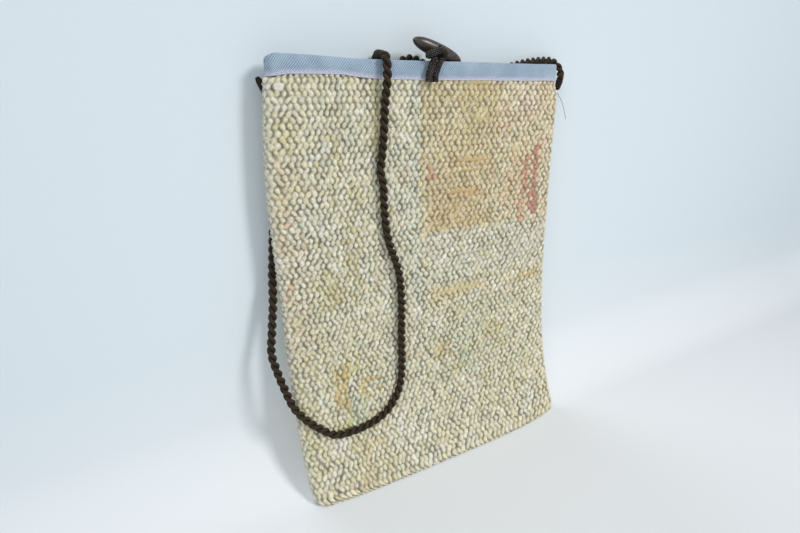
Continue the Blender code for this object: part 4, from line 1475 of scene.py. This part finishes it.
# Name, place, aim, size, power and colour of each lamp
LAMPS = [
    ("key", (1.15, -1.8, 1.3), (0.0, 0.0, -0.12), 0.7, 34.0, (1.0, 0.98, 0.95)),
    ("fill", (-0.9, -0.8, 0.9), (0.0, 0.0, -0.1), 0.7, 5.5, (0.97, 0.99, 1.0)),
    ("rear", (-0.2, 1.5, 1.2), (0.0, 0.0, -0.1), 1.5, 10.0, (1.0, 1.0, 1.0)),
]
SKY_COLOUR = (0.88, 0.93, 1.0, 1.0)
SKY_STRENGTH = 0.50


def make_camera():
    """The photograph's camera, turned to the right, down and a little round its own view."""
    yaw, pitch, roll = (math.radians(turn) for turn in CAMERA_TURNS)
    ahead = Vector((math.sin(yaw) * math.cos(pitch), math.cos(yaw) * math.cos(pitch), -math.sin(pitch)))
    right = Vector((math.cos(yaw), -math.sin(yaw), 0.0))
    down = ahead.cross(right)
    level = math.cos(roll) * right + math.sin(roll) * down
    under = -math.sin(roll) * right + math.cos(roll) * down
    turned = Matrix((level, -under, -ahead)).transposed().to_4x4()
    data = bpy.data.cameras.new("photo_camera")
    data.sensor_width = SENSOR_WIDTH
    data.lens = SENSOR_WIDTH * FOCAL_PIXELS / PHOTO_PIXELS_WIDE
    data.clip_start = 0.01
    camera = bpy.data.objects.new("photo_camera", data)
    bpy.context.scene.collection.objects.link(camera)
    camera.matrix_world = Matrix.Translation(CAMERA_PLACE) @ turned
    bpy.context.scene.camera = camera


def make_lamp(name, at, towards, size, power, colour):
    data = bpy.data.lights.new(name, "AREA")
    data.shape = "DISK"
    data.size = size
    data.energy = power
    data.color = colour
    lamp = bpy.data.objects.new(name, data)
    bpy.context.scene.collection.objects.link(lamp)
    lamp.location = at
    lamp.rotation_euler = (Vector(towards) - Vector(at)).to_track_quat("-Z", "Y").to_euler()


def make_stage():
    """A pale floor, and the wall that the pouch leans on, which is seen from its front only."""
    pale = stage_material("pale_floor")
    count = 13
    reach = np.linspace(-STAGE_REACH, STAGE_REACH, count)
    points = np.array([[(x, y, FLOOR_Z) for x in reach] for y in reach])
    floor = add_mesh("floor", points, grid_faces(count, count), pale)
    profile = []
    for turn in np.linspace(0.0, math.pi / 2, 13):
        y = WALL_Y - WALL_FOOT * (1 - math.sin(turn))
        profile.append((y, FLOOR_Z + 0.0002 + WALL_FOOT * (1 - math.cos(turn))))
    profile.append((WALL_Y, WALL_TOP))
    points = np.array([[(x, y, z) for x in reach] for y, z in profile])
    wall = add_mesh("wall", points, grid_faces(len(profile), count), wall_material("pale_wall"))
    for flag in ("visible_shadow", "visible_diffuse", "visible_glossy", "visible_transmission"):
        setattr(wall, flag, False)


def make_world():
    world = bpy.data.worlds.new("studio")
    bpy.context.scene.world = world
    world.use_nodes = True
    back = world.node_tree.nodes["Background"]
    back.inputs["Color"].default_value = SKY_COLOUR
    back.inputs["Strength"].default_value = SKY_STRENGTH


def main():
    scene = bpy.context.scene
    scene.view_settings.view_transform = "Standard"
    make_camera()
    make_world()
    for lamp in LAMPS:
        make_lamp(*lamp)
    make_stage()

    ends = [
        make_whipped_end("left_whipping", *left_end_places(), "cord_end_left"),
        make_whipped_end("right_whipping", *right_end_places(), "cord_end_right"),
    ]
    make_rope()

    front = make_cloth("front_weave", True, 3, FRONT_PATCHES, FRONT_FLOATS, (8, 7), "front_panel")
    back = make_cloth("back_weave", False, 8, BACK_PATCHES, [], (6, 5), "back_panel")
    make_binding("front_binding_twill", True, "binding_front")
    make_binding("back_binding_twill", False, "binding_back")
    make_stitches("front_binding_stitches", True, "binding_stitching_front")
    make_stitches("back_binding_stitches", False, "binding_stitching_back")
    make_lining("front_lining_twill", True, "lining_front")
    make_lining("back_lining_twill", False, "lining_back")
    make_side_seam("left_whip_stitch", -1, "side_seam_left")
    make_side_seam("right_whip_stitch", 1, "side_seam_right")
    make_bottom_seam()
    make_loose_threads()
    make_long_thread()

    make_toggle()
    make_toggle_cord()
    make_hitch()


main()
